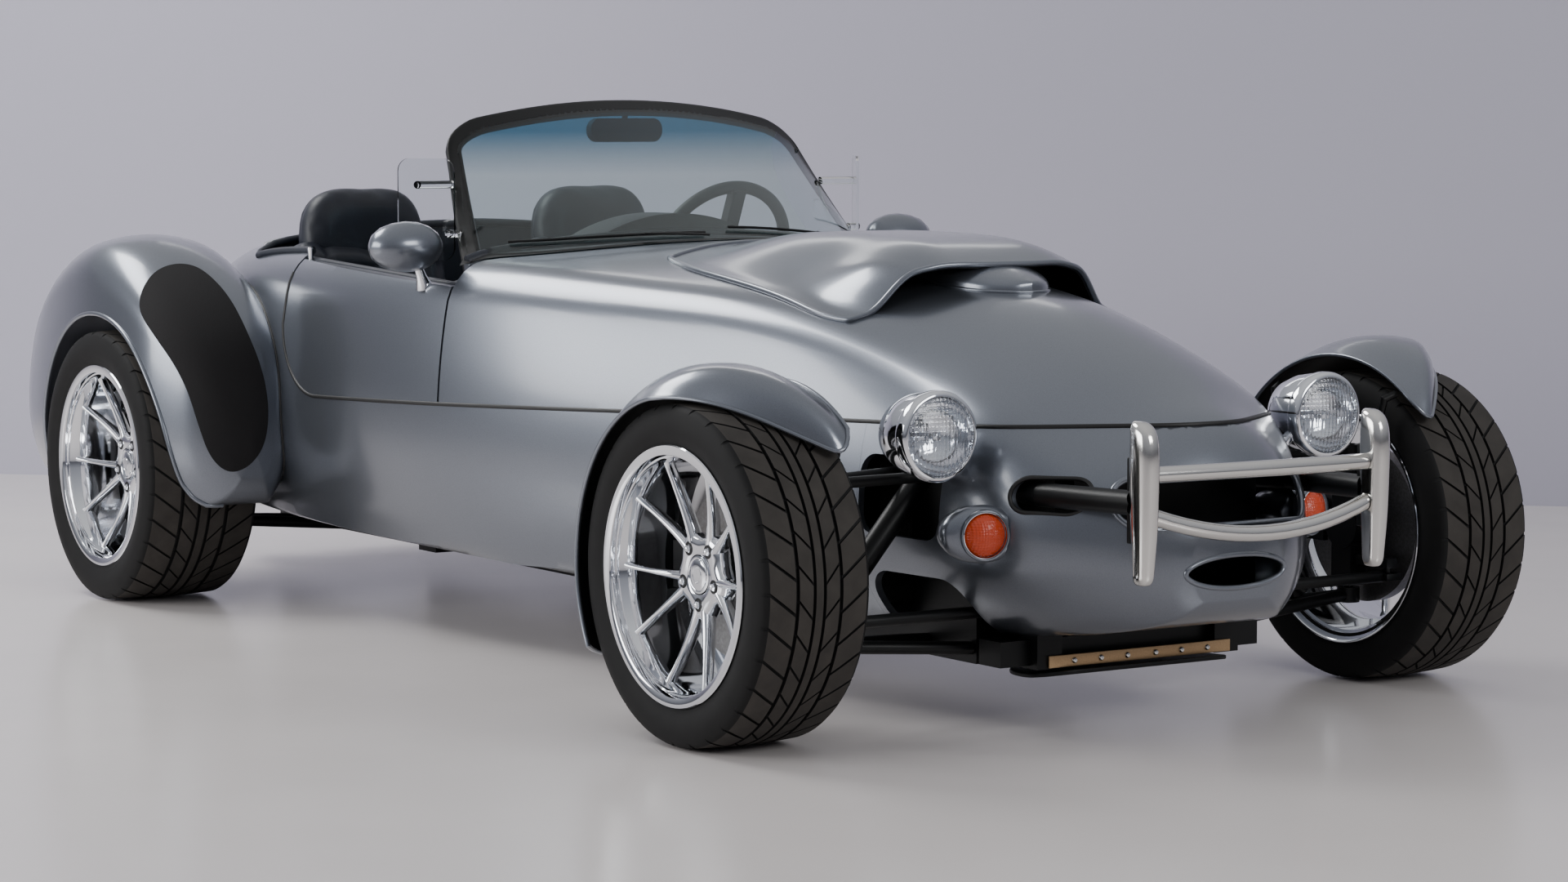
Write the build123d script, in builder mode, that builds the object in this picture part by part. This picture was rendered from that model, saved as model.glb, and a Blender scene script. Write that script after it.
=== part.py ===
import os
from collections import namedtuple
from math import asin, atan2, cos, radians, sin

from build123d import *

os.makedirs("parts", exist_ok=True)

# Driving dimensions in millimetres: X runs forward, Y to the car's left, Z up from the road.
LENGTH = 4035.0
WHEELBASE = 2654.0
FRONT_OVERHANG = 613.0
FRONT_TRACK = 1644.0
REAR_TRACK = 1660.0
WALL = 16.0            # skin with its frame
SHUT = 7.0             # shut line of a moving panel
SEAT = 0.3             # play between pieces that rest on one another
RUNNING = 0.05         # radial play of a turning pin
STEER_ARM = 120.0      # tie-rod ball ahead of the kingpin
FRONT_R = 326.5        # tyre radii
REAR_R = 332.0
ARCH_R = 372.0         # rear wheel arch
WHEEL_HOUSE = 656.0    # inner wall of the rear wheel house
KINGPIN_IN = 86.0      # kingpin inboard of the wheel's centre plane

FRONT_AXLE = LENGTH / 2 - FRONT_OVERHANG
REAR_AXLE = FRONT_AXLE - WHEELBASE
FRONT_Y = FRONT_TRACK / 2
REAR_Y = REAR_TRACK / 2


def fx(ahead):
    return FRONT_AXLE + ahead


def rx(ahead):
    return REAR_AXLE + ahead


# One row a station: half-section of the body from the belt up over the shoulder to the crown
# and from the belt down to the flat floor.
Station = namedtuple(
    "Station", "x half_width belt_z shoulder_y shoulder_z shoulder_r crown_z floor_z floor_y"
)
BODY = [
    Station(fx(512), 112, 345, 104, 376, 40, 425, 272, 80),
    Station(fx(490), 168, 352, 157, 420, 56, 516, 244, 118),
    Station(fx(440), 232, 362, 216, 458, 82, 590, 222, 160),
    Station(fx(350), 312, 372, 286, 492, 112, 642, 203, 200),
    Station(fx(232), 376, 380, 345, 548, 136, 703, 190, 250),
    Station(fx(0), 410, 385, 355, 638, 118, 797, 180, 300),
    Station(fx(-441), 450, 400, 405, 732, 96, 862, 180, 400),
    Station(fx(-960), 550, 425, 505, 762, 110, 893, 188, 500),
    Station(fx(-1470), 648, 450, 620, 764, 130, 908, 205, 600),
    Station(rx(404), 665, 480, 640, 765, 135, 908, 215, 612),
    Station(rx(-96), 612, 485, 585, 745, 150, 902, 235, 555),
    Station(rx(-380), 540, 480, 508, 690, 160, 838, 262, 480),
    Station(rx(-560), 450, 470, 424, 620, 150, 740, 300, 390),
    Station(rx(-660), 350, 460, 330, 552, 110, 645, 345, 292),
    Station(rx(-695), 245, 455, 232, 508, 72, 578, 380, 195),
]
# Rear wings, right and left alike, on their own centre line.
Wing = namedtuple("Wing", "centre_y row")
WING = [
    Wing(740, Station(rx(412), 50, 400, 45, 444, 26, 470, 325, 35)),
    Wing(748, Station(rx(385), 102, 420, 93, 531, 56, 585, 275, 80)),
    Wing(762, Station(rx(300), 160, 440, 146, 620, 88, 705, 252, 130)),
    Wing(776, Station(rx(130), 190, 460, 174, 730, 104, 832, 245, 160)),
    Wing(782, Station(rx(-60), 193, 470, 176, 787, 106, 892, 245, 165)),
    Wing(776, Station(rx(-300), 186, 465, 170, 750, 102, 850, 258, 158)),
    Wing(762, Station(rx(-520), 165, 455, 150, 648, 90, 735, 290, 135)),
    Wing(745, Station(rx(-680), 115, 440, 104, 530, 62, 590, 330, 90)),
    Wing(738, Station(rx(-728), 62, 430, 56, 473, 33, 505, 365, 45)),
]

SEAM_X = fx(425)       # front end of the shut line between nose and bonnet
SEAM_Z = 601.0
SEAM_SLOPE = 0.0297    # it falls towards the doors
DOOR_FRONT = fx(-1481)
DOOR_REAR = rx(394)
DOOR_IN = 565.0        # inner face of door and sill
DOOR_TOP_FRONT = 806.0
DOOR_TOP_REAR = 843.0
FIREWALL = fx(-1490)
BULKHEAD = rx(70)
NOSE_SPLIT = fx(-150)
SCREEN_R = 800.0       # plan radius of the windscreen's foot
SCREEN_X = fx(-2065)   # its centre
SCREEN_TOP = 1226.0
FRAME_WIDTH = 32.0     # of the windscreen's posts and top rail
LID_FRONT = rx(-70)
LID_REAR = rx(-470)
LID_HALF = 330.0


def seam_z(x):
    return SEAM_Z + SEAM_SLOPE * (x - SEAM_X)


def section(row, inset=0.0, centre_y=0.0):
    rise = row.shoulder_z - row.belt_z
    tuck = row.half_width - row.shoulder_y
    side_r = (tuck**2 + rise**2) / (2 * tuck)
    lean = asin(rise / side_r)
    mid_y = row.shoulder_y - row.shoulder_r * cos(lean)
    mid_z = row.shoulder_z - row.shoulder_r * sin(lean)
    head = row.crown_z - mid_z
    crown_r = (mid_y**2 + head**2 - row.shoulder_r**2) / (2 * (head - row.shoulder_r))
    turn = atan2(mid_z - row.crown_z + crown_r, mid_y)
    low = row.belt_z - row.floor_z
    under = row.half_width - row.floor_y
    low_r = (under**2 + low**2) / (2 * under)
    dip = asin((low - inset) / (low_r - inset))

    def on_arc(mid, radius, angle):
        return (mid[0] + (radius - inset) * cos(angle), mid[1] + (radius - inset) * sin(angle))

    side_mid = (row.half_width - side_r, row.belt_z)
    low_mid = (row.half_width - low_r, row.belt_z)
    points = [
        on_arc(low_mid, low_r, -dip),
        on_arc(low_mid, low_r, -dip / 2),
        on_arc(side_mid, side_r, 0),
        on_arc(side_mid, side_r, lean / 2),
        on_arc(side_mid, side_r, lean),
        on_arc((mid_y, mid_z), row.shoulder_r, (lean + turn) / 2),
        on_arc((mid_y, mid_z), row.shoulder_r, turn),
    ]
    right = [(centre_y - y, z) for y, z in points]
    left = [(centre_y + y, z) for y, z in points]
    with BuildSketch(Plane.YZ.offset(row.x)) as face:
        with BuildLine():
            Line(right[0], left[0])
            for side in (right, left):
                for start in (0, 2, 4):
                    ThreePointArc(side[start], side[start + 1], side[start + 2])
            ThreePointArc(right[6], (centre_y, row.crown_z - inset), left[6])
        make_face()
    return face.sketch


def hull(rows, inset=0.0):
    with BuildPart() as solid:
        loft(sections=[section(row, inset) for row in rows], ruled=True)
    return solid.part


def mirrored(part):
    with BuildPart() as twin:
        mirror(part, about=Plane.XZ)
    return twin.part


def save(part, name):
    part.label = name
    export_step(part, f"parts/{name}.step")


def box_between(x0, x1, y0, y1, z0, z1):
    with BuildPart() as block:
        with Locations(((x0 + x1) / 2, (y0 + y1) / 2, (z0 + z1) / 2)):
            Box(abs(x1 - x0), abs(y1 - y0), abs(z1 - z0))
    return block.part


def rod(path, radius):
    with BuildPart() as bar:
        with BuildLine() as line:
            Polyline(*path)
        with BuildSketch(Plane(path[0], z_dir=Vector(path[1]) - Vector(path[0]))):
            Circle(radius)
        sweep(path=line.line, transition=Transition.RIGHT)
    return bar.part


def pin_y(x, z, radius, y0, y1):
    with BuildPart() as pin:
        with BuildSketch(Plane.XZ.offset(-min(y0, y1))):
            with Locations((x, z)):
                Circle(radius)
        extrude(amount=-abs(y1 - y0))
    return pin.part


def pin_z(x, y, radius, z0, z1):
    with BuildPart() as pin:
        with BuildSketch(Plane.XY.offset(z0)):
            with Locations((x, y)):
                Circle(radius)
        extrude(amount=z1 - z0)
    return pin.part


# Body: one hull, hollow for engine bay, cockpit and boot, then cut where its panels meet.
outer = hull(BODY)
with BuildPart() as hollow:
    add(hull(BODY[1:-1], WALL))
    add(box_between(FIREWALL, FIREWALL - 20, -800, 800, 100, 1000), mode=Mode.SUBTRACT)
    add(box_between(BULKHEAD, BULKHEAD - 20, -800, 800, 100, 1000), mode=Mode.SUBTRACT)
    for side in (-1, 1):
        sill = box_between(FIREWALL, BULKHEAD, side * DOOR_IN, side * 800, 100, 1000)
        add(sill, mode=Mode.SUBTRACT)
boot, cockpit, engine_bay = sorted(hollow.part.solids(), key=lambda bay: bay.center().X)


def bonnet_region(grow):
    with BuildPart() as region:
        with BuildSketch(Plane.XZ):
            with BuildLine():
                Polyline(
                    (fx(700), seam_z(fx(700)) - grow),
                    (DOOR_FRONT - grow, seam_z(DOOR_FRONT) - grow),
                    (DOOR_FRONT - grow, 1500),
                    (fx(700), 1500),
                    close=True,
                )
            make_face()
        extrude(amount=900, both=True)
        with BuildSketch():
            with Locations((SCREEN_X, 0)):
                Circle(SCREEN_R - grow)
        extrude(amount=1600, mode=Mode.SUBTRACT)
    return region.part


def door_region(grow, top_front, top_rear):
    knee = DOOR_REAR + 224
    with BuildPart() as region:
        with BuildSketch(Plane.XZ.offset(DOOR_IN - max(grow, 0))):
            with BuildLine():
                rear_top = (DOOR_REAR, top_rear)
                rear_mid = (DOOR_REAR - 4, 690)
                foot = (knee, seam_z(knee))
                front = (DOOR_FRONT, seam_z(DOOR_FRONT))
                Polyline(foot, front, (DOOR_FRONT, top_front), rear_top, rear_mid)
                ThreePointArc(rear_mid, (DOOR_REAR + 66, 578), foot)
            make_face()
            offset(amount=grow, kind=Kind.INTERSECTION, mode=Mode.REPLACE)
        extrude(amount=300)
    return region.part


def lid_region(grow):
    with BuildPart() as region:
        with BuildSketch(Plane.XY.offset(500)):
            with Locations(((LID_FRONT + LID_REAR) / 2, 0)):
                RectangleRounded(LID_FRONT - LID_REAR + 2 * grow, 2 * (LID_HALF + grow), 60 + grow)
        extrude(amount=800)
    return region.part


def hinge_notch(x, z):
    return pin_y(x, z, 15, -40, 40)


def hinge_sleeve(x, z, web_x):
    with BuildPart() as sleeve:
        add(pin_y(x, z, 8, -20, 20))
        add(box_between(x, web_x, -16, 16, z + 1, z + 8))
        add(pin_y(x, z, 4 + RUNNING, -21, 21), mode=Mode.SUBTRACT)
    return sleeve.part


def hinge_pin(x, z, foot_x, foot_z):
    with BuildPart() as pin:
        add(pin_y(x, z, 4, -34, 34))
        for y in (-34, 26):
            low = min(z, foot_z) - 4
            add(box_between(min(x, foot_x) - 4, max(x, foot_x) + 4, y, y + 8, low, max(z, foot_z) + 4))
    return pin.part


BONNET_HINGE = (fx(420), 600.0)
with BuildPart() as bonnet:
    add(outer)
    add(bonnet_region(-SHUT / 2), mode=Mode.INTERSECT)
    add(engine_bay, mode=Mode.SUBTRACT)
    add(hinge_notch(*BONNET_HINGE), mode=Mode.SUBTRACT)
    add(hinge_sleeve(*BONNET_HINGE, BONNET_HINGE[0] - 28))
save(bonnet.part, "bonnet")

with BuildPart() as nose:
    add(outer)
    add(box_between(NOSE_SPLIT + SEAT, fx(700), -900, 900, 100, 1200), mode=Mode.INTERSECT)
    add(bonnet_region(SHUT / 2), mode=Mode.SUBTRACT)
    add(engine_bay, mode=Mode.SUBTRACT)
    # Radiator mouth, lower mouth, bumper-tube slots and the gaps for the wishbones.
    with BuildSketch(Plane.YZ.offset(fx(330))):
        with Locations((0, 460)):
            SlotOverall(464, 96)
        with Locations((0, 328)):
            Ellipse(118, 30)
    extrude(amount=400, mode=Mode.SUBTRACT)
    with BuildSketch(Plane.XZ):
        with Locations((fx(330), 472)):
            SlotOverall(128, 66)
        with Locations((fx(-20), 446)):
            RectangleRounded(250, 156, 40)
        with Locations((fx(5), 200)):
            RectangleRounded(280, 190, 60)
    extrude(amount=700, both=True, mode=Mode.SUBTRACT)
    add(hinge_notch(*BONNET_HINGE), mode=Mode.SUBTRACT)
    add(hinge_pin(*BONNET_HINGE, BONNET_HINGE[0], BONNET_HINGE[1] - 30))
save(nose.part, "nose_panel")

DOOR_HINGE = (DOOR_FRONT - SHUT / 2 - 6, -638.0)
with BuildPart() as door:
    add(outer)
    add(door_region(-SHUT / 2, DOOR_TOP_FRONT, DOOR_TOP_REAR), mode=Mode.INTERSECT)
    add(pin_z(*DOOR_HINGE, 3 + RUNNING, 400, 626), mode=Mode.SUBTRACT)
save(door.part, "door_right")
save(mirrored(door.part), "door_left")

LID_HINGE = (LID_FRONT, 901.0)
with BuildPart() as lid:
    add(outer)
    add(lid_region(-SHUT / 2), mode=Mode.INTERSECT)
    add(boot, mode=Mode.SUBTRACT)
    add(hinge_notch(*LID_HINGE), mode=Mode.SUBTRACT)
    add(hinge_sleeve(*LID_HINGE, LID_HINGE[0] - 28))
save(lid.part, "boot_lid")

with BuildPart() as tub:
    add(outer)
    add(bonnet_region(SHUT / 2), mode=Mode.SUBTRACT)
    add(box_between(NOSE_SPLIT, fx(700), -900, 900, 100, 1200), mode=Mode.SUBTRACT)
    add(box_between(FIREWALL - 20, BULKHEAD, -DOOR_IN, DOOR_IN, 600, 1200), mode=Mode.SUBTRACT)
    for hole in (door_region(SHUT / 2, 1500, 1500), lid_region(SHUT / 2)):
        add(hole, mode=Mode.SUBTRACT)
    add(mirrored(door_region(SHUT / 2, 1500, 1500)), mode=Mode.SUBTRACT)
    for bay in (engine_bay, cockpit, boot):
        add(bay, mode=Mode.SUBTRACT)
    # Openings in the flanks for the rear half shafts.
    with BuildSketch(Plane.XZ):
        with Locations((REAR_AXLE, REAR_R)):
            RectangleRounded(200, 150, 40)
    extrude(amount=700, both=True, mode=Mode.SUBTRACT)
    add(hinge_notch(*LID_HINGE), mode=Mode.SUBTRACT)
    add(hinge_pin(*LID_HINGE, LID_HINGE[0] + 28, LID_HINGE[1] - 4))
    for side in (1, -1):
        add(pin_z(DOOR_HINGE[0], side * DOOR_HINGE[1], 3, 530, 620))
save(tub.part, "body_shell")

# Rear wings round their wheels.
with BuildPart() as wing:
    loft(sections=[section(item.row, 0.0, -item.centre_y) for item in WING], ruled=True)
    add(outer, mode=Mode.SUBTRACT)
    add(pin_y(rx(-15), REAR_R, ARCH_R, -1200, -WHEEL_HOUSE), mode=Mode.SUBTRACT)
    arch = box_between(rx(-15) - ARCH_R, rx(-15) + ARCH_R, -1200, -WHEEL_HOUSE, 0, REAR_R)
    add(arch, mode=Mode.SUBTRACT)
    add(pin_y(REAR_AXLE, REAR_R, 60, -700, -500), mode=Mode.SUBTRACT)
save(wing.part, "rear_wing_right")
save(mirrored(wing.part), "rear_wing_left")

# Wide scoop on the bonnet with a bulge in its mouth.
Scoop = namedtuple("Scoop", "x half_width foot_z crown_z")
SCOOP = [
    Scoop(fx(-236), 285, 780, 884),
    Scoop(fx(-330), 335, 772, 921),
    Scoop(fx(-480), 352, 798, 938),
    Scoop(fx(-760), 345, 836, 939),
    Scoop(fx(-1000), 315, 868, 925),
    Scoop(fx(-1052), 300, 876, 919),
    Scoop(fx(-1150), 150, 893, 906),
]


def scoop_section(row, inset):
    with BuildSketch(Plane.YZ.offset(row.x)) as face:
        half = row.half_width - inset
        top = row.crown_z - inset
        foot = row.foot_z
        flare = (half * 0.82, foot + (top - foot) * 0.68)
        brow = (half * 0.45, top - (top - foot) * 0.08)
        with BuildLine():
            Polyline((half, foot), (half, 700), (-half, 700), (-half, foot))
            ThreePointArc((-half, foot), (-flare[0], flare[1]), (-brow[0], brow[1]))
            ThreePointArc((-brow[0], brow[1]), (0, top), brow)
            ThreePointArc(brow, flare, (half, foot))
        make_face()
    return face.sketch


with BuildPart() as scoop:
    loft(sections=[scoop_section(row, 0) for row in SCOOP], ruled=True)
    inner_rows = [SCOOP[0]._replace(x=fx(-200))] + SCOOP[:-1]
    loft(sections=[scoop_section(row, 9) for row in inner_rows], ruled=True, mode=Mode.SUBTRACT)
    add(outer, mode=Mode.SUBTRACT)
save(scoop.part, "scoop")

POD_NOSE = fx(-95)
with BuildPart() as pod:
    with BuildSketch(Plane.XZ):
        with BuildLine():
            Line((POD_NOSE - 420, 790), (POD_NOSE, 815))
            ThreePointArc((POD_NOSE, 815), (POD_NOSE - 190, 868), (POD_NOSE - 420, 860))
            Line((POD_NOSE - 420, 860), (POD_NOSE - 420, 790))
        make_face()
    revolve(axis=Axis((POD_NOSE, 0, 815), (420, 0, 25)), revolution_arc=360)
    add(outer, mode=Mode.SUBTRACT)
    add(scoop.part, mode=Mode.SUBTRACT)
save(pod.part, "scoop_bulge")


# Wheels: local axis Z points outboard, then each is turned to its corner.
WheelSet = namedtuple("WheelSet", "end x y radius width rim_width hub_face spoke_in spoke_out")
WHEELS = [
    WheelSet("front", FRONT_AXLE, FRONT_Y, FRONT_R, 245, 216, 58, 40, 74),
    WheelSet("rear", REAR_AXLE, REAR_Y, REAR_R, 295, 254, 62, 44, 92),
]
RIM_LIP = 248.0
BEAD = 231.0
SPINDLE = 32.0


def tyre_solid(row):
    seat = row.rim_width / 2 - 0.4
    wide = row.width / 2
    half = [(seat, BEAD + 0.3), (seat, RIM_LIP + 1), (wide - 3, 270), (wide, 290)]
    half += [(wide - 7, row.radius - 26), (wide - 24, row.radius - 5)]
    outline = [(r, -a) for a, r in half] + [(row.radius, 0)] + [(r, a) for a, r in reversed(half)]
    with BuildPart() as ring:
        with BuildSketch(Plane.XZ):
            with BuildLine():
                Polyline(*outline, close=True)
            make_face()
        revolve(axis=Axis.Z)
    return ring.part


def wheel_solid(row):
    half = row.rim_width / 2
    barrel = [
        (BEAD - 9, -half - 12),
        (RIM_LIP, -half - 12),
        (RIM_LIP, -half),
        (BEAD, -half),
        (BEAD, -half + 40),
        (BEAD - 24, -half + 56),
        (BEAD - 24, -half + 92),
        (BEAD, half - 30),
        (BEAD, half),
        (RIM_LIP, half),
        (RIM_LIP, half + 12),
        (RIM_LIP - 9, half + 12),
        (BEAD - 8, half - 10),
        (BEAD - 10, half - 30),
        (BEAD - 33, -half + 96),
        (BEAD - 33, -half + 52),
        (BEAD - 9, -half + 36),
    ]
    with BuildPart() as wheel:
        with BuildSketch(Plane.XZ):
            with BuildLine():
                Polyline(*barrel, close=True)
            make_face()
        revolve(axis=Axis.Z)
        with BuildSketch(Plane.XY.offset(20)):
            Circle(80)
        extrude(amount=row.hub_face - 20)
        # Ten slim spokes in five pairs, each pair closing up between two wheel bolts.
        for pair in range(5):
            for lean in (-1, 1):
                near = radians(72 * pair + 90 + 8 * lean)
                far = radians(72 * pair + 90 + 18 * lean)
                start = Vector(66 * cos(near), 66 * sin(near), row.spoke_in)
                end = Vector(219 * cos(far), 219 * sin(far), row.spoke_out)
                along = end - start
                with BuildSketch(Plane(start, x_dir=(-sin(near), cos(near), 0), z_dir=along)):
                    Rectangle(26, 32)
                with BuildSketch(Plane(end, x_dir=(-sin(far), cos(far), 0), z_dir=along)):
                    Rectangle(13, 26)
                loft(ruled=True)
        with BuildSketch(Plane.XY.offset(-200)):
            with PolarLocations(57.15, 5, start_angle=54):
                Circle(8)
        extrude(amount=400, mode=Mode.SUBTRACT)
        with BuildSketch(Plane.XY.offset(-100)):
            Circle(SPINDLE + RUNNING)
        extrude(amount=100 + row.hub_face - 6, mode=Mode.SUBTRACT)
    return wheel.part


def disc_solid():
    with BuildPart() as disc:
        with BuildSketch(Plane.XY.offset(-48)):
            Circle(165)
        extrude(amount=28)
        with BuildSketch(Plane.XY.offset(-20)):
            Circle(78)
        extrude(amount=39.7)
        with BuildSketch(Plane.XY.offset(-100)):
            Circle(SPINDLE + RUNNING)
        extrude(amount=200, mode=Mode.SUBTRACT)
    return disc.part


for row in WHEELS:
    corner = Location((row.x, -row.y, row.radius), (90, 0, 0))
    for name, solid in (("tyre", tyre_solid(row)), ("wheel", wheel_solid(row)), ("disc", disc_solid())):
        placed = corner * solid
        save(placed, f"{name}_{row.end}_right")
        save(mirrored(placed), f"{name}_{row.end}_left")


# Uprights carry the wheels on their spindles; the front ones turn on the kingpin.
def upright(axle_x, wheel_y, radius):
    inner = -(wheel_y - KINGPIN_IN)
    with BuildPart() as block:
        add(box_between(axle_x - 30, axle_x + 30, inner + 22, inner - 22, radius - 126, radius + 134))
        add(pin_y(axle_x, radius, 48, inner + 24, inner - 30))
        add(pin_y(axle_x, radius, SPINDLE, inner, -(wheel_y + 48)))
        y_in, y_out = -(wheel_y - 66), -(wheel_y + 2)
        caliper = box_between(axle_x - 182, axle_x - 104, y_in, y_out, radius - 45, radius + 45)
        add(caliper)
        add(pin_y(axle_x, radius, 171, -(wheel_y - 54), -(wheel_y - 14)), mode=Mode.SUBTRACT)
        add(pin_y(axle_x, radius, SPINDLE, inner, -(wheel_y + 48)))
        add(box_between(axle_x - 150, axle_x, -(wheel_y - 66), -(wheel_y - 56), radius - 24, radius + 24))
    return block.part


ARM_Z = FRONT_R - 91.5
with BuildPart() as knuckle:
    kingpin = -(FRONT_Y - KINGPIN_IN)
    add(upright(FRONT_AXLE, FRONT_Y, FRONT_R))
    add(pin_z(FRONT_AXLE, kingpin, 10, FRONT_R - 166, FRONT_R - 100))
    add(pin_z(FRONT_AXLE, kingpin, 10, FRONT_R + 100, FRONT_R + 172))
    # Steering arm with the stud that drops into the tie-rod eye, and the two stays of the mudguard.
    arm_end = FRONT_AXLE + STEER_ARM + 14
    add(box_between(FRONT_AXLE, arm_end, kingpin - 14, kingpin + 14, ARM_Z + 12, ARM_Z + 32))
    add(pin_z(FRONT_AXLE + STEER_ARM, kingpin, 8, ARM_Z - 12, ARM_Z + 20))
    for way in (-1, 1):
        stay = [
            (FRONT_AXLE, kingpin, FRONT_R + 94),
            (FRONT_AXLE + way * 60, kingpin + 14, FRONT_R + 94),
            (FRONT_AXLE + way * 120, -(FRONT_Y - 148), FRONT_R + 112),
            (FRONT_AXLE + way * 172, -(FRONT_Y - 148), FRONT_R + 278),
            (FRONT_AXLE + way * 181, -(FRONT_Y - 124), FRONT_R + 289),
        ]
        add(rod(stay, 8))

# Mudguards ride on the uprights; the visor end reaches furthest forward on the inner side.
with BuildPart() as guard:
    start = radians(36)
    hub = Vector(FRONT_AXLE, -FRONT_Y, FRONT_R)
    with BuildSketch(Plane(hub, x_dir=(0, 1, 0), z_dir=(sin(start), 0, -cos(start)))):
        with BuildLine():
            ThreePointArc((-128, 336), (0, 388), (128, 336))
            Line((128, 336), (124, 333))
            ThreePointArc((124, 333), (0, 383), (-124, 333))
            Line((-124, 333), (-128, 336))
        make_face()
    revolve(axis=Axis(hub, (0, -1, 0)), revolution_arc=172)
    with BuildSketch(Plane.XY.offset(FRONT_R)):
        with BuildLine():
            outer_y = -(FRONT_Y + 140)
            inner_y = -(FRONT_Y - 140)
            corner = fx(600)
            Polyline((fx(266), inner_y), (fx(128), outer_y), (corner, outer_y), (corner, inner_y), close=True)
        make_face()
    extrude(amount=400, mode=Mode.SUBTRACT)
with BuildPart() as knuckle_clear:
    add(knuckle.part)
    add(guard.part, mode=Mode.SUBTRACT)
knuckle_part = max(knuckle_clear.part.solids(), key=lambda piece: piece.volume)
save(Part([knuckle_part]), "knuckle_right")
save(mirrored(Part([knuckle_part])), "knuckle_left")
save(guard.part, "mudguard_right")
save(mirrored(guard.part), "mudguard_left")

with BuildPart() as carriers:
    add(upright(REAR_AXLE, REAR_Y, REAR_R))
    mirror(about=Plane.XZ)
save(carriers.part, "rear_carriers")

# Frame rails under the floor with crossmember, wishbone towers and jacking pads.
RAIL_IN = 190.0
RAIL_OUT = 250.0
RAIL_Z = 122.0
with BuildPart() as chassis:
    add(box_between(rx(-480), fx(220), -RAIL_OUT, -RAIL_IN, RAIL_Z, 330))
    add(outer, mode=Mode.SUBTRACT)
    add(box_between(fx(-128), fx(90), -300, -RAIL_IN - 30, RAIL_Z, 530))
    add(box_between(fx(-60), fx(40), -348, -RAIL_IN - 30, 530, 560))
    for x in (fx(-360), rx(360)):
        add(box_between(x - 45, x + 45, -RAIL_OUT, -RAIL_IN, RAIL_Z - 12, RAIL_Z + 10))
    mirror(about=Plane.XZ)
    add(box_between(fx(126), fx(196), -320, 320, RAIL_Z + 6, 178))
    add(box_between(rx(-60), rx(60), -RAIL_OUT, RAIL_OUT, RAIL_Z + 6, 170))
save(chassis.part, "chassis")


def wishbone(x, ball_y, ball_z, foot_y, foot_z, spread, radius, pin_r):
    with BuildPart() as arm:
        for way in (-1, 1):
            add(rod([(x, ball_y, ball_z), (x + way * spread, foot_y, foot_z)], radius))
        add(pin_z(x, ball_y, 24, ball_z - 16, ball_z + 16))
        add(pin_z(x, ball_y, pin_r, ball_z - 60, ball_z + 60), mode=Mode.SUBTRACT)
    return arm.part


with BuildPart() as front_arms:
    kingpin = -(FRONT_Y - KINGPIN_IN)
    add(wishbone(FRONT_AXLE, kingpin, FRONT_R - 148, -300, 152, 74, 13, 10 + RUNNING))
    add(wishbone(FRONT_AXLE, kingpin, FRONT_R + 154, -300, 494, 74, 11, 10 + RUNNING))
    mirror(about=Plane.XZ)
    add(chassis.part, mode=Mode.SUBTRACT)
save(front_arms.part, "front_wishbones")

with BuildPart() as rear_arms:
    foot = -(REAR_Y - KINGPIN_IN)
    for way in (-1, 1):
        add(rod([(rx(0), foot, 188), (rx(way * 90), -RAIL_OUT, 152)], 14))
    add(box_between(rx(-30), rx(30), foot - 22, foot + 22, 172, REAR_R - 126 - SEAT))
    mirror(about=Plane.XZ)
    add(chassis.part, mode=Mode.SUBTRACT)
save(rear_arms.part, "rear_wishbones")

with BuildPart() as rear_drive:
    add(box_between(rx(-110), rx(40), -130, 130, 200, 420))
    add(boot, mode=Mode.INTERSECT)
    add(pin_y(REAR_AXLE, REAR_R, 18, -(REAR_Y - KINGPIN_IN - 24 - SEAT), REAR_Y - KINGPIN_IN - 24 - SEAT))
save(rear_drive.part, "rear_drive")

with BuildPart() as rack_housing:
    rack_x = FRONT_AXLE + STEER_ARM
    add(pin_y(rack_x, ARM_Z - 6, 22, -270, 270))
    for side in (-1, 1):
        add(box_between(rack_x - 18, rack_x + 18, side * (RAIL_IN + 5), side * (RAIL_OUT - 5), 150, ARM_Z))
    add(chassis.part, mode=Mode.SUBTRACT)
    add(pin_y(rack_x, ARM_Z - 6, 12 + RUNNING, -300, 300), mode=Mode.SUBTRACT)
save(rack_housing.part, "rack_housing")

with BuildPart() as tie_rods:
    eye_y = FRONT_Y - KINGPIN_IN
    add(pin_y(rack_x, ARM_Z - 6, 12, -(eye_y - 16), eye_y - 16))
    for side in (-1, 1):
        near, far = side * (eye_y - 22), side * (eye_y + 22)
        add(box_between(rack_x - 38, rack_x + 24, near, far, ARM_Z - 13, ARM_Z + 1))
        near, far = side * (eye_y - 15), side * (eye_y + 15)
        eye = box_between(rack_x - 31, rack_x + 17, near, far, ARM_Z - 20, ARM_Z + 9)
        add(eye, mode=Mode.SUBTRACT)
save(tie_rods.part, "tie_rods")

with BuildPart() as dampers:
    with BuildLine() as damper_line:
        Line((fx(-10), -610, 196), (fx(-10), -312, 540))
    with BuildSketch(Plane((fx(-10), -610, 196), z_dir=(0, 298, 344))):
        Circle(24)
    sweep(path=damper_line.line)
    mirror(about=Plane.XZ)
    add(chassis.part, mode=Mode.SUBTRACT)
    add(front_arms.part, mode=Mode.SUBTRACT)
save(dampers.part, "front_dampers")

# Engine and radiator stand on the floor of the bay.
with BuildPart() as engine:
    add(box_between(fx(-930), fx(-300), -260, 260, 100, 760))
    add(engine_bay, mode=Mode.INTERSECT)
save(engine.part, "engine")
with BuildPart() as radiator:
    add(box_between(fx(240), fx(300), -225, 225, 100, 560))
    add(engine_bay, mode=Mode.INTERSECT)
save(radiator.part, "radiator")

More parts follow.
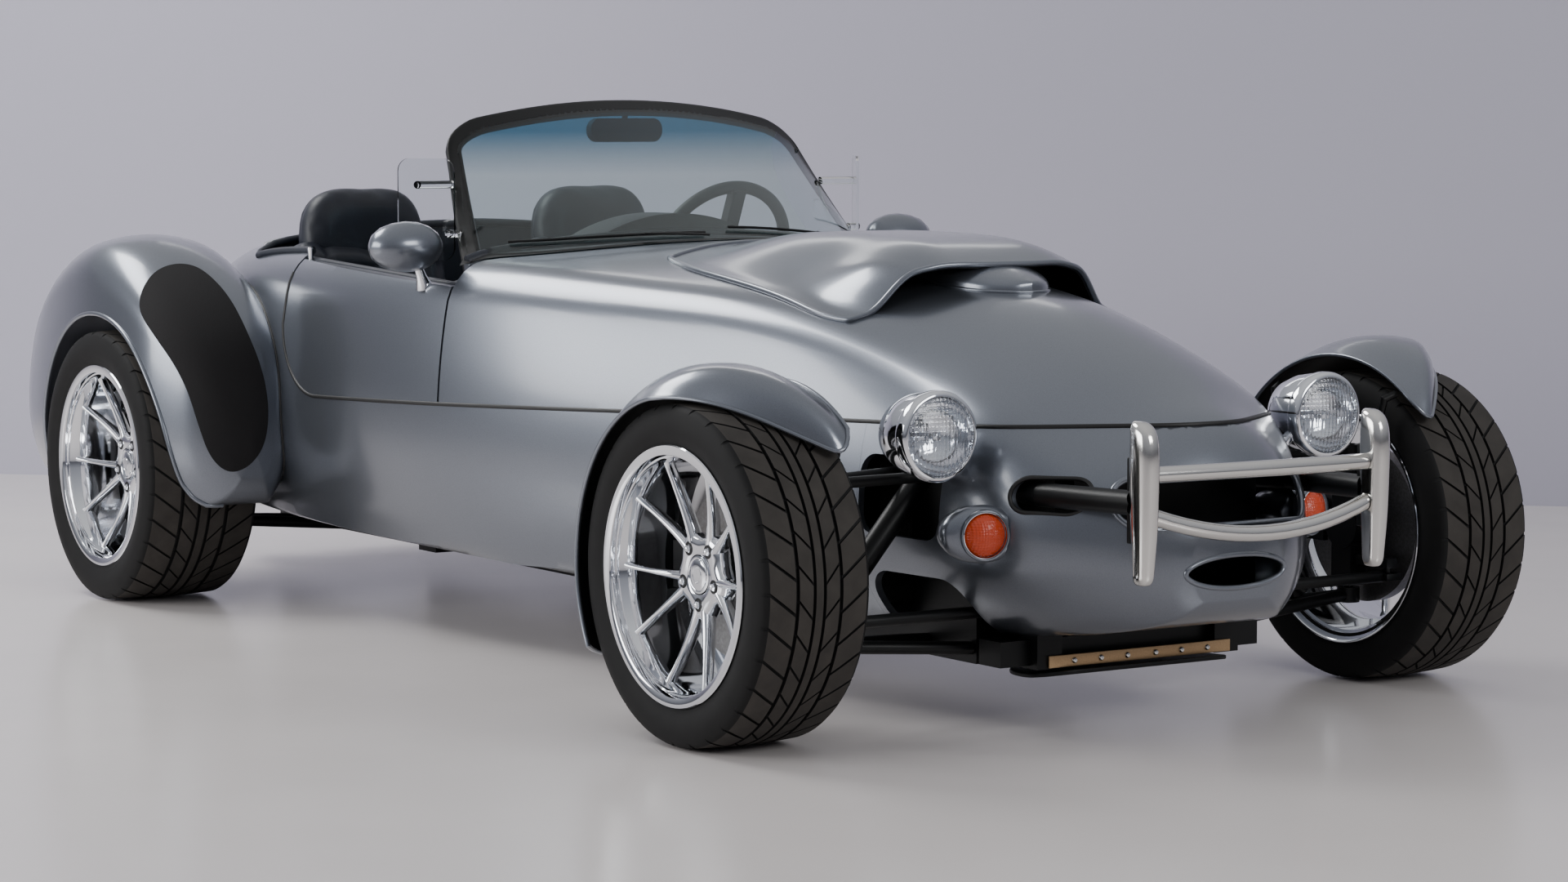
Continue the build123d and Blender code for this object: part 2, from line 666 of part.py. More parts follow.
# Windscreen: a ruled sheet from a tight arc on the scuttle to a nearly straight top rail.
ScreenArc = namedtuple("ScreenArc", "z centre_x radius half_width")
SCREEN = [
    ScreenArc(820.0, fx(-1768), 620.0, 575.0),
    ScreenArc(SCREEN_TOP + 4, fx(-3555), 1795.0, 440.0),
]


def screen_band(thick, margin):
    with BuildPart() as band:
        for row in SCREEN:
            far = row.radius + thick / 2
            near = row.radius - thick / 2
            angle = asin(row.half_width / row.radius)
            with BuildSketch(Plane.XY.offset(row.z)):
                with BuildLine():
                    x0, y0 = row.centre_x + far * cos(angle), far * sin(angle)
                    x1, y1 = row.centre_x + near * cos(angle), near * sin(angle)
                    ThreePointArc((x0, -y0), (row.centre_x + far, 0), (x0, y0))
                    Line((x0, y0), (x1, y1))
                    ThreePointArc((x1, y1), (row.centre_x + near, 0), (x1, -y1))
                    Line((x1, -y1), (x0, -y0))
                make_face()
        loft(ruled=True)
        with BuildSketch(Plane.YZ):
            with BuildLine():
                post = (487 - margin, SCREEN_TOP - 126)
                corner = (462 - 0.8 * margin, SCREEN_TOP - 79 - 0.6 * margin)
                brow = (402 - 0.5 * margin, SCREEN_TOP - 43 - margin)
                Polyline((-post[0], post[1]), (-587 + margin, 700), (587 - margin, 700), post)
                ThreePointArc(post, corner, brow)
                ThreePointArc(brow, (0, SCREEN_TOP - margin), (-brow[0], brow[1]))
                ThreePointArc((-brow[0], brow[1]), (-corner[0], corner[1]), (-post[0], post[1]))
            make_face()
        extrude(amount=3000, both=True, mode=Mode.INTERSECT)
    return band.part


with BuildPart() as frame_screen:
    add(screen_band(36, 0))
    add(screen_band(80, FRAME_WIDTH), mode=Mode.SUBTRACT)
    add(outer, mode=Mode.SUBTRACT)
save(frame_screen.part, "windscreen_frame")

with BuildPart() as glass:
    add(screen_band(8, FRAME_WIDTH + SEAT))
    add(outer, mode=Mode.SUBTRACT)
save(glass.part, "windscreen_glass")

# Side deflectors beside the screen's posts.
with BuildPart() as deflectors:
    toe = radians(30)
    across = (cos(toe), sin(toe), 0)
    with BuildSketch(Plane((fx(-1640), -588, 975), x_dir=across, z_dir=(sin(toe), -cos(toe), 0))):
        RectangleRounded(150, 230, 30)
    extrude(amount=3, both=True)
    # Clamps hold each pane to the post.
    add(rod([(fx(-1584), -522, 920), (fx(-1592), -562, 920)], 9))
    add(rod([(fx(-1668), -492, 1030), (fx(-1662), -602, 1030)], 9))
    add(frame_screen.part, mode=Mode.SUBTRACT)
    add(outer, mode=Mode.SUBTRACT)
    mirror(about=Plane.XZ)
save(deflectors.part, "side_deflectors")

with BuildPart() as inside_mirror:
    with BuildSketch(Plane.YZ.offset(fx(-1762))):
        with Locations((0, 1150)):
            RectangleRounded(196, 56, 26)
    extrude(amount=22)
    add(rod([(fx(-1752), 0, 1165), (fx(-1745), 0, 1215)], 7))
    add(frame_screen.part, mode=Mode.SUBTRACT)
    add(glass.part, mode=Mode.SUBTRACT)
save(Part([max(inside_mirror.part.solids(), key=lambda piece: piece.volume)]), "inside_mirror")

# Dashboard with a raised gauge hood on the centre line.
DASH_REAR = FIREWALL - 150
with BuildPart() as dashboard:
    with BuildSketch(Plane.YZ.offset(FIREWALL - 20 - SEAT)):
        with BuildLine():
            Polyline((-250, 884), (-555, 800), (-555, 640), (555, 640), (555, 800), (250, 884))
            ThreePointArc((250, 884), (0, 958), (-250, 884))
        make_face()
    extrude(amount=-130)
    add(pin_y(DASH_REAR, 640, 60, -600, 600), mode=Mode.SUBTRACT)

COLUMN_TILT = radians(24)
HAND = Vector(fx(-1800), 300, 850)
AXIS_UP = Vector(-cos(COLUMN_TILT), 0, sin(COLUMN_TILT))
with BuildPart() as column:
    with BuildSketch(Plane(HAND - AXIS_UP * 40, z_dir=AXIS_UP)):
        Circle(26)
    extrude(amount=-250)
    with BuildSketch(Plane(HAND, z_dir=AXIS_UP)):
        Circle(10 + RUNNING)
    extrude(amount=-120, mode=Mode.SUBTRACT)
save(column.part, "steering_column")
with BuildPart() as dash_cut:
    add(dashboard.part)
    add(column.part, mode=Mode.SUBTRACT)
    with BuildSketch(Plane(HAND, z_dir=AXIS_UP)):
        Circle(20)
    extrude(amount=-400, mode=Mode.SUBTRACT)
save(Part([max(dash_cut.part.solids(), key=lambda piece: piece.volume)]), "dashboard")

with BuildPart() as hand_wheel:
    hand_plane = Plane(HAND, x_dir=(0, 1, 0), z_dir=AXIS_UP)
    with BuildSketch(Plane(HAND, x_dir=(0, 1, 0), z_dir=hand_plane.y_dir)):
        with Locations((178, 0)):
            Circle(15)
    revolve(axis=Axis(HAND, AXIS_UP))
    with BuildSketch(hand_plane.offset(-20)):
        Circle(62)
        Rectangle(350, 34)
        with Locations((0, -88)):
            Rectangle(36, 176)
    extrude(amount=26)
    with BuildSketch(hand_plane.offset(-20)):
        Circle(10)
    extrude(amount=-90)
save(hand_wheel.part, "steering_wheel")

# Seats on their boxes, tunnel with the gear lever.
with BuildPart() as seat_room:
    add(cockpit)
    add(box_between(BULKHEAD + 6, FIREWALL - 20, -DOOR_IN + 6, DOOR_IN - 6, 700, 1100))
with BuildPart() as seats:
    with BuildSketch(Plane.XZ.offset(110)):
        with BuildLine():
            Polyline(
                (fx(-1840), 440),
                (fx(-1850), 300),
                (fx(-2440), 270),
                (fx(-2525), 880),
                (fx(-2425), 900),
                (fx(-2310), 420),
                close=True,
            )
        make_face()
    extrude(amount=440)
    fillet(seats.edges().filter_by(Axis.Y), 18)
    # Head restraint, narrower than the back.
    with BuildSketch(Plane.YZ.offset(fx(-2530))):
        with Locations((-330, 920)):
            RectangleRounded(330, 196, 74)
    extrude(amount=96)
    add(box_between(fx(-2380), fx(-1920), -520, -140, 150, 330))
    add(seat_room.part, mode=Mode.INTERSECT)
    mirror(about=Plane.XZ)
save(seats.part, "seats")

with BuildPart() as tunnel:
    add(box_between(FIREWALL - 20, BULKHEAD, -90, 90, 150, 400))
    add(cockpit, mode=Mode.INTERSECT)
    add(box_between(fx(-1660), FIREWALL, -300, 300, 630, 1000), mode=Mode.SUBTRACT)
    add(rod([(fx(-1900), 0, 390), (fx(-1930), 0, 520)], 7))
    with Locations((fx(-1932), 0, 530)):
        Sphere(24)
save(tunnel.part, "tunnel")

# Headlamps on side stalks, indicators in bullet pods.
LAMP = Vector(fx(208), -480, 583)
with BuildPart() as lamp_shells:
    with BuildSketch(Plane.XZ.offset(-LAMP.Y)):
        with BuildLine():
            Line((LAMP.X, LAMP.Z), (LAMP.X, LAMP.Z + 95))
            ThreePointArc((LAMP.X, LAMP.Z + 95), (LAMP.X - 75, LAMP.Z + 80), (LAMP.X - 150, LAMP.Z))
            Line((LAMP.X - 150, LAMP.Z), (LAMP.X, LAMP.Z))
        make_face()
    revolve(axis=Axis(LAMP, (1, 0, 0)))
    add(rod([(fx(145), -478, 530), (fx(145), -300, 520)], 15))
    add(outer, mode=Mode.SUBTRACT)
    mirror(about=Plane.XZ)
save(lamp_shells.part, "headlamp_shells")

with BuildPart() as lamp_lenses:
    with BuildSketch(Plane.XZ.offset(-LAMP.Y)):
        with BuildLine():
            front = LAMP.X + SEAT
            Polyline((front, LAMP.Z + 86), (front, LAMP.Z), (front + 16, LAMP.Z))
            ThreePointArc((front + 16, LAMP.Z), (front + 12, LAMP.Z + 48), (front, LAMP.Z + 86))
        make_face()
    revolve(axis=Axis(LAMP, (1, 0, 0)))
    mirror(about=Plane.XZ)
save(lamp_lenses.part, "headlamp_lenses")

BLINK = Vector(fx(262), -400, 395)
with BuildPart() as pods:
    with BuildSketch(Plane.XZ.offset(-BLINK.Y)):
        with BuildLine():
            Line((BLINK.X, BLINK.Z), (BLINK.X, BLINK.Z + 46))
            ThreePointArc((BLINK.X, BLINK.Z + 46), (BLINK.X - 90, BLINK.Z + 36), (BLINK.X - 180, BLINK.Z))
            Line((BLINK.X - 180, BLINK.Z), (BLINK.X, BLINK.Z))
        make_face()
    revolve(axis=Axis(BLINK, (1, 0, 0)))
    add(outer, mode=Mode.SUBTRACT)
    mirror(about=Plane.XZ)
save(pods.part, "indicator_pods")
with BuildPart() as amber:
    with BuildSketch(Plane.XZ.offset(-BLINK.Y)):
        with BuildLine():
            front = BLINK.X + SEAT
            Polyline((front, BLINK.Z + 40), (front, BLINK.Z), (front + 20, BLINK.Z))
            ThreePointArc((front + 20, BLINK.Z), (front + 14, BLINK.Z + 26), (front, BLINK.Z + 40))
        make_face()
    revolve(axis=Axis(BLINK, (1, 0, 0)))
    add(outer, mode=Mode.SUBTRACT)
    mirror(about=Plane.XZ)
save(amber.part, "indicator_lenses")

# Bumpers: two horns joined by two bars, on tubes from the frame.
FRONT_FACE = LENGTH / 2
REAR_FACE = -LENGTH / 2
HORN_Y = 280.0


def horn(face, way):
    with BuildPart() as solid:
        with BuildSketch(Plane.XZ.offset(HORN_Y - 23)):
            with BuildLine():
                Polyline(
                    (face - way * 18, 326),
                    (face, 380),
                    (face, 520),
                    (face - way * 22, 604),
                    (face - way * 46, 627),
                    (face - way * 62, 604),
                    (face - way * 58, 440),
                    (face - way * 46, 350),
                    close=True,
                )
            make_face()
        extrude(amount=46)
        fillet(solid.edges(), 9)
        mirror(about=Plane.XZ)
    return solid.part


def bars(face, way):
    with BuildPart() as pair:
        for height, drop, bow in ((528, 0, 10), (452, 44, 16)):
            start = (face - way * 34, -HORN_Y + 20, height)
            middle = (face - way * 34 + way * bow, 0, height - drop)
            with BuildLine():
                arc = ThreePointArc(start, middle, (start[0], -start[1], height))
            with BuildSketch(Plane(start, z_dir=arc.tangent_at(0))):
                Circle(16)
            sweep(path=arc)
        add(horns.part, mode=Mode.SUBTRACT)
    return pair.part


with BuildPart() as horns:
    add(horn(FRONT_FACE, 1))
    add(horn(REAR_FACE, -1))
save(horns.part, "bumper_horns")
with BuildPart() as bumper_bars:
    add(bars(FRONT_FACE, 1))
    add(bars(REAR_FACE, -1))
save(bumper_bars.part, "bumper_bars")
with BuildPart() as tail:
    add(outer)
    add(box_between(rx(-900), rx(-400), -600, 600, 0, 1000), mode=Mode.INTERSECT)
with BuildPart() as tubes:
    add(rod([(fx(90), -264, 470), (fx(310), -306, 472), (FRONT_FACE - 50, -HORN_Y, 476)], 23))
    add(rod([(rx(-560), -270, 470), (REAR_FACE + 50, -HORN_Y, 474)], 23))
    add(horns.part, mode=Mode.SUBTRACT)
    add(tail.part, mode=Mode.SUBTRACT)
    mirror(about=Plane.XZ)
    add(chassis.part, mode=Mode.SUBTRACT)
save(tubes.part, "bumper_tubes")

with BuildPart() as tail_lamps:
    with BuildSketch(Plane.YZ.offset(rx(-728))):
        with Locations((-738, 436)):
            Circle(44)
    extrude(amount=-24)
    mirror(about=Plane.XZ)
save(tail_lamps.part, "tail_lamps")

with BuildPart() as exhausts:
    add(rod([(rx(-260), -300, 206), (rx(-720), -300, 222)], 30))
    add(box_between(rx(-620), rx(-330), -360, -265, 170, 400))
    add(outer, mode=Mode.SUBTRACT)
    mirror(about=Plane.XZ)
save(exhausts.part, "exhausts")

with BuildPart() as skid:
    with BuildSketch(Plane.XZ.offset(-230)):
        with BuildLine():
            under = [(fx(40), 104), (fx(250), 116), (fx(272), 150), (fx(266), 152), (fx(246), 122)]
            over = [(fx(196), 119), (fx(196), 127.7), (fx(126), 127.7), (fx(126), 115), (fx(40), 110)]
            Polyline(*under, *over, close=True)
        make_face()
    extrude(amount=460)
    add(chassis.part, mode=Mode.SUBTRACT)
save(skid.part, "skid_plate")

# Door mirrors on short stalks.
with BuildPart() as mirror_right:
    with Locations((fx(-1582), -676, 893)):
        Box(112, 160, 96)
    fillet(mirror_right.edges(), 44)
    add(rod([(fx(-1590), -586, 780), (fx(-1590), -640, 880)], 14))
    add(door.part, mode=Mode.SUBTRACT)
mirror_part = Part([max(mirror_right.part.solids(), key=lambda piece: piece.volume)])
save(mirror_part, "mirror_right")
save(mirrored(mirror_part), "mirror_left")
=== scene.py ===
import bmesh
import bpy
import numpy as np
from math import asin, atan2, cos, hypot, pi, radians, sin, sqrt
from mathutils import Matrix, Vector
from mathutils.bvhtree import BVHTree
from mathutils.geometry import intersect_point_line


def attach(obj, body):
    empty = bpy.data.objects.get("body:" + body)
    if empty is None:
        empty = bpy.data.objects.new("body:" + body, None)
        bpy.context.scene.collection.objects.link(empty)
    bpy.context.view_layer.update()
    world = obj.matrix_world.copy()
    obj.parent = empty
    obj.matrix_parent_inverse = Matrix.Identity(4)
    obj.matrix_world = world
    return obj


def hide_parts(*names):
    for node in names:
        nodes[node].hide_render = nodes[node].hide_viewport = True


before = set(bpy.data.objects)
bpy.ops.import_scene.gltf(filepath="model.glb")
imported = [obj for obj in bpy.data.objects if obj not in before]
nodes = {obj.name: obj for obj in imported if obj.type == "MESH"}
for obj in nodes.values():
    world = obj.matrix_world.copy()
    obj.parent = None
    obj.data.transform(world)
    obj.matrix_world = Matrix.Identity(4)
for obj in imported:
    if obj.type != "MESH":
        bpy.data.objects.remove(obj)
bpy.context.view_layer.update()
mm = 0.001  # sizes below are mm in the car's frame: x forward, y to its left, z up from the ground
sides = (("right", -1), ("left", 1))


def hexColour(code):
    channels = [int(code[i : i + 2], 16) / 255 for i in (1, 3, 5)]
    return tuple(c / 12.92 if c <= 0.04045 else ((c + 0.055) / 1.055) ** 2.4 for c in channels) + (1.0,)


def addNode(tree, kind, settings=None, links=None):
    node = tree.nodes.new(kind)
    for name, value in (settings or {}).items():
        if name in node.bl_rna.properties:
            setattr(node, name, value)
        else:
            node.inputs[name].default_value = value
    for name, source in (links or {}).items():
        tree.links.new(source, node.inputs[name])
    return node


class Finish:
    # a Principled material whose patterns lie in the object's own space; widths in metres
    def __init__(self, name, settings):
        self.material = bpy.data.materials.new(name)
        self.material.use_nodes = True
        self.tree = self.material.node_tree
        self.shader = self.tree.nodes["Principled BSDF"]
        for key, value in settings.items():
            self.shader.inputs[key].default_value = hexColour(value) if isinstance(value, str) else value
        self.where = addNode(self.tree, "ShaderNodeTexCoord").outputs["Object"]

    def stretched(self, scale):
        return addNode(self.tree, "ShaderNodeMapping", {"Scale": scale}, {"Vector": self.where}).outputs["Vector"]

    def noise(self, width, detail=2.0, where=None):
        source = self.where if where is None else where
        return addNode(
            self.tree, "ShaderNodeTexNoise", {"Scale": 1 / width, "Detail": detail}, {"Vector": source}
        ).outputs["Fac"]

    def cells(self, width):
        return addNode(
            self.tree, "ShaderNodeTexVoronoi", {"Scale": 1 / width}, {"Vector": self.where}
        ).outputs["Distance"]

    def ranged(self, value, settings):
        return addNode(self.tree, "ShaderNodeMapRange", settings, {"Value": value}).outputs["Result"]

    def tint(self, value, first, last):
        ramp = addNode(self.tree, "ShaderNodeValToRGB", links={"Fac": value})
        for element, code in zip(ramp.color_ramp.elements, (first, last)):
            element.color = hexColour(code)
        self.tree.links.new(ramp.outputs["Color"], self.shader.inputs["Base Color"])

    def bump(self, value, strength, distance, socket="Normal"):
        relief = addNode(
            self.tree, "ShaderNodeBump", {"Strength": strength, "Distance": distance}, {"Height": value}
        )
        self.tree.links.new(relief.outputs["Normal"], self.shader.inputs[socket])

    def rough(self, value, low, high):
        level = self.ranged(value, {"To Min": low, "To Max": high})
        self.tree.links.new(level, self.shader.inputs["Roughness"])


# dark silver metallic under clear lacquer: fine flake gives the base coat its sparkle, the lacquer its sharp gloss
metallicPaint = Finish(
    "lacquered_metallic_paint", {"Metallic": 0.82, "Roughness": 0.3, "Coat Weight": 0.9, "Coat Roughness": 0.14}
)
metallicPaint.tint(metallicPaint.cells(0.9e-3), "#7b8089", "#646972")  # flakes drawn 0.9 mm wide to show
metallicPaint.bump(metallicPaint.noise(9e-3, 1.0), 0.02, 0.0004, "Coat Normal")  # orange peel, 9 mm waves

# polished stainless tube: bright, with faint lengthwise polishing marks
polishedStainless = Finish("polished_stainless", {"Base Color": "#d9d7d3", "Metallic": 1.0, "Roughness": 0.14})
polishedStainless.rough(polishedStainless.noise(1.0, 2.0, polishedStainless.stretched((900, 60, 900))), 0.09, 0.2)

# bright chromium plate: mirror-like, a little haze where it was wiped
chromePlate = Finish("chromium_plate", {"Base Color": "#e4e6ea", "Metallic": 1.0, "Roughness": 0.05})
chromePlate.rough(chromePlate.noise(40e-3, 3.0), 0.03, 0.1)

# black powder coat on steel: even satin with a fine grain
powderCoat = Finish("black_powder_coat", {"Base Color": "#08090a", "Roughness": 0.42, "Specular IOR Level": 0.28})
grain = powderCoat.noise(2.2e-3)
powderCoat.bump(grain, 0.12, 0.0003)
powderCoat.rough(grain, 0.34, 0.5)

# turned cast iron: grey, with dark pores
castIron = Finish("turned_cast_iron", {"Metallic": 0.9, "Roughness": 0.4})
pores = castIron.noise(5e-3, 5.0)
castIron.tint(pores, "#57534f", "#8d8d8e")
castIron.bump(pores, 0.25, 0.0005)

# tyre rubber: matt black with paler dust
tyreRubber = Finish("moulded_tyre_rubber", {"Roughness": 0.7, "Specular IOR Level": 0.22})
tyreRubber.tint(tyreRubber.noise(30e-3, 6.0), "#0b0b0c", "#171717")
tyreRubber.bump(tyreRubber.noise(1.6e-3), 0.2, 0.0004)

# worn tread blocks: browner and duller than the side wall, with road dust
wornTread = Finish("road_worn_tread_rubber", {"Roughness": 0.78, "Specular IOR Level": 0.3})
wornTread.tint(wornTread.noise(45e-3, 7.0), "#262422", "#423e3a")
wornTread.bump(wornTread.noise(2e-3, 3.0), 0.3, 0.0005)

# extruded rubber seal and beading: satin black
sealRubber = Finish("extruded_seal_rubber", {"Base Color": "#0b0b0c", "Roughness": 0.5})
sealRubber.bump(sealRubber.noise(1.2e-3), 0.15, 0.0003)

# stippled stone-guard film: dead matt black with a sandy stipple
stoneGuard = Finish(
    "stippled_stone_guard", {"Base Color": "#1d1c1d", "Roughness": 0.85, "Specular IOR Level": 0.25}
)
stoneGuard.bump(stoneGuard.noise(3e-3, 3.0), 0.5, 0.001)  # grit drawn 3 mm to show

# moulded soft plastic of the dash: dark grey with a leather-like pebble
mouldedPlastic = Finish("moulded_dash_plastic", {"Base Color": "#26282b", "Roughness": 0.55})
mouldedPlastic.bump(mouldedPlastic.cells(2.5e-3), 0.25, 0.0005)

# navy hide: close grain on a slightly clouded colour
navyHide = Finish("grained_navy_hide", {"Roughness": 0.46, "Specular IOR Level": 0.45})
navyHide.tint(navyHide.noise(60e-3, 3.0), "#15181f", "#222733")
navyHide.bump(navyHide.cells(2.8e-3), 0.3, 0.0006)  # grain drawn 2.8 mm to show

# anodised plate under the nose: warm tan with rolling lines
tanAnodised = Finish("tan_anodised_plate", {"Metallic": 0.75, "Roughness": 0.38})
tanAnodised.tint(tanAnodised.noise(1.0, 3.0, tanAnodised.stretched((40, 500, 500))), "#a07f5c", "#c9ab84")

# toughened glass with a green cast, a blue sun band fades in towards its top edge
screenGlass = Finish(
    "toughened_green_glass", {"Roughness": 0.0, "IOR": 1.5, "Transmission Weight": 1.0, "Specular IOR Level": 0.06}
)
height = addNode(screenGlass.tree, "ShaderNodeSeparateXYZ", links={"Vector": screenGlass.where}).outputs["Z"]
fade = screenGlass.ranged(height, {"From Min": 1.05, "From Max": 1.15})  # metres above the ground
screenGlass.tint(fade, "#cadad9", "#3a7690")

# clear moulded acrylic of the side panes
clearAcrylic = Finish(
    "clear_cast_acrylic", {"Base Color": "#f4f8f8", "Roughness": 0.02, "IOR": 1.49, "Transmission Weight": 1.0}
)
clearAcrylic.rough(clearAcrylic.noise(80e-3), 0.0, 0.04)
bandsAtOne = 3.2  # bands a metre in a wave texture of scale 1


def lensFinish(name, colour, through, rib):
    # moulded lens: ribs bend the light, colour lies in the body of the plastic
    lens = Finish(
        name, {"Base Color": colour, "Roughness": 0.06, "IOR": 1.49, "Transmission Weight": through, "Coat Weight": 0.3}
    )
    ribs = {}
    for i, axis in enumerate("YZ"):
        wave = {"Scale": 1 / rib / bandsAtOne, "bands_direction": axis, "wave_profile": "SIN"}
        ribs[i] = addNode(lens.tree, "ShaderNodeTexWave", wave, {"Vector": lens.where}).outputs["Fac"]
    lens.bump(addNode(lens.tree, "ShaderNodeMath", {"operation": "ADD"}, ribs).outputs["Value"], 0.35, 0.0015)
    return lens


amberLens = lensFinish("moulded_amber_lens", "#ea4a0a", 0.35, 5e-3)
redLens = lensFinish("moulded_red_lens", "#b3161a", 0.45, 5e-3)
lampGlass = lensFinish("fluted_lamp_glass", "#f6f8fa", 1.0, 9e-3)
print("materials:", len(bpy.data.materials))


def finishPiece(bm, name, body, finish, sharpAngle=35, replaces=()):
    # one mesh object at the origin that rides on its body and takes its finish from a slot
    bmesh.ops.remove_doubles(bm, verts=bm.verts, dist=1e-6)
    return finishMesh(meshFrom(bm, name), name, body, finish, sharpAngle, replaces)


def finishMesh(mesh, name, body, finish, sharpAngle=35, replaces=()):
    mesh.polygons.foreach_set("use_smooth", [True] * len(mesh.polygons))
    mesh.set_sharp_from_angle(angle=radians(sharpAngle))
    if mesh.materials:  # clearing an empty list would also reset the faces' indices
        mesh.materials.clear()
    mesh.materials.append(finish.material)
    piece = bpy.data.objects.new(name, mesh)
    bpy.context.scene.collection.objects.link(piece)
    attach(piece, body)
    if replaces:
        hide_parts(*replaces)
    return piece


def bmFrom(mesh):
    bm = bmesh.new()
    bm.from_mesh(mesh)
    return bm


def meshFrom(bm, name="scratch"):
    mesh = bpy.data.meshes.new(name)
    bm.to_mesh(mesh)
    bm.free()
    return mesh


def combine(mesh, steps):
    # steps are (operation, cutter mesh), worked one after another
    work = bpy.data.objects.new("work", mesh)
    bpy.context.scene.collection.objects.link(work)
    for operation, cutterMesh in steps:
        cutter = bpy.data.objects.new("cutter", cutterMesh)
        bpy.context.scene.collection.objects.link(cutter)
        cut = work.modifiers.new("cut", "BOOLEAN")
        cut.operation = operation
        cut.solver = "MANIFOLD"
        cut.object = cutter
        bpy.context.view_layer.update()
        result = bpy.data.meshes.new_from_object(work.evaluated_get(bpy.context.evaluated_depsgraph_get()))
        work.modifiers.clear()
        work.data = result
        bpy.data.objects.remove(cutter)
    result = work.data
    bpy.data.objects.remove(work)
    return result


def prism(outline, axis, low, high):
    # closed outline in the plane across an axis, extruded from low to high along it
    bm = bmesh.new()
    place = {"x": lambda a, b: (low, a, b), "y": lambda a, b: (a, low, b), "z": lambda a, b: (a, b, low)}[axis]
    face = bm.faces.new([bm.verts.new(place(a, b)) for a, b in outline])
    top = bmesh.ops.extrude_face_region(bm, geom=[face])
    shift = Vector([high - low if axis == name else 0 for name in "xyz"])
    bmesh.ops.translate(bm, verts=[g for g in top["geom"] if isinstance(g, bmesh.types.BMVert)], vec=shift)
    bmesh.ops.recalc_face_normals(bm, faces=bm.faces)
    return bm


def roundedOutline(centre, size, radius, steps=8):
    points = []
    for turn in range(4):
        sideA = 1 if turn in (0, 3) else -1
        sideB = 1 if turn in (0, 1) else -1
        for i in range(steps + 1):
            angle = pi / 2 * (turn + i / steps)
            points.append((
                centre[0] + sideA * (size[0] / 2 - radius) + radius * cos(angle),
                centre[1] + sideB * (size[1] / 2 - radius) + radius * sin(angle),
            ))
    return points


def boxBetween(low, high, edgeRadius=0.0, segments=3):
    bm = bmesh.new()
    bmesh.ops.create_cube(bm, size=1)
    bmesh.ops.scale(bm, vec=Vector(high) - Vector(low), verts=bm.verts)
    bmesh.ops.translate(bm, vec=(Vector(high) + Vector(low)) / 2, verts=bm.verts)
    if edgeRadius:
        bevelled(bm, bm.edges[:], edgeRadius, segments)
    return bm


def bevelled(bm, edges, offset, segments):
    bmesh.ops.bevel(bm, geom=edges, offset=offset, segments=segments, profile=0.5, affect="EDGES", material=-1)


def steepEdges(bm):
    return [e for e in bm.edges if len(e.link_faces) == 2 and e.calc_face_angle(0) > radians(60)]


def inMetres(points):
    return [Vector(point) * mm for point in points]


def signedPower(value, power):
    return abs(value) ** power * (1 if value > 0 else -1)


def tubeMesh(points, radius, closed=False, rounding=4, radii=None):
    # round bar along a path of points, its ends capped
    curve = bpy.data.curves.new("path", "CURVE")
    curve.dimensions = "3D"
    curve.bevel_depth = radius
    curve.bevel_resolution = rounding
    curve.use_fill_caps = not closed
    line = curve.splines.new("POLY")
    line.points.add(len(points) - 1)
    for i, (spot, place) in enumerate(zip(line.points, points)):
        spot.co = (*place, 1)
        spot.radius = radii[i] if radii else 1.0
    line.use_cyclic_u = closed
    holder = bpy.data.objects.new("path", curve)
    mesh = bpy.data.meshes.new_from_object(holder)
    bpy.data.objects.remove(holder)
    bpy.data.curves.remove(curve)
    return mesh


def joined(meshes):
    bm = bmesh.new()
    for mesh in meshes:
        bm.from_mesh(mesh)
    return bm


def turned(profile, steps=96):
    # spin a profile of (radius, along) about the y axis
    bm = bmesh.new()
    spots = [bm.verts.new((r, y, 0)) for r, y in profile]
    edges = [bm.edges.new(pair) for pair in zip(spots, spots[1:])]
    bmesh.ops.spin(
        bm, geom=spots + edges, cent=(0, 0, 0), axis=(0, 1, 0), angle=2 * pi, steps=steps, use_merge=True
    )
    bmesh.ops.remove_doubles(bm, verts=bm.verts, dist=1e-6)
    bmesh.ops.recalc_face_normals(bm, faces=bm.faces)
    return bm


def moveTo(bm, place, turn=None):
    if turn is not None:
        bmesh.ops.transform(bm, matrix=turn, verts=bm.verts)
    bmesh.ops.translate(bm, vec=Vector(place), verts=bm.verts)
    return bm


def otherSide(mesh):
    # mirror image across the car's middle plane
    bm = bmFrom(mesh)
    bmesh.ops.scale(bm, vec=(1, -1, 1), verts=bm.verts)
    bmesh.ops.reverse_faces(bm, faces=bm.faces)
    return bm


def onSide(mesh, side):
    # a right-hand mesh as it is, or its mirror image on the left
    return bmFrom(mesh) if side < 0 else otherSide(mesh)


def bothSides(mesh):
    bm = otherSide(mesh)
    bm.from_mesh(mesh)
    return bm


# finishes of the CAD nodes that stay in view
corners = [f"{end}_{word}" for end in ("front", "rear") for word, _ in sides]


def each(stems, words=("right", "left")):
    return [f"{stem}_{word}" for stem in stems for word in words]


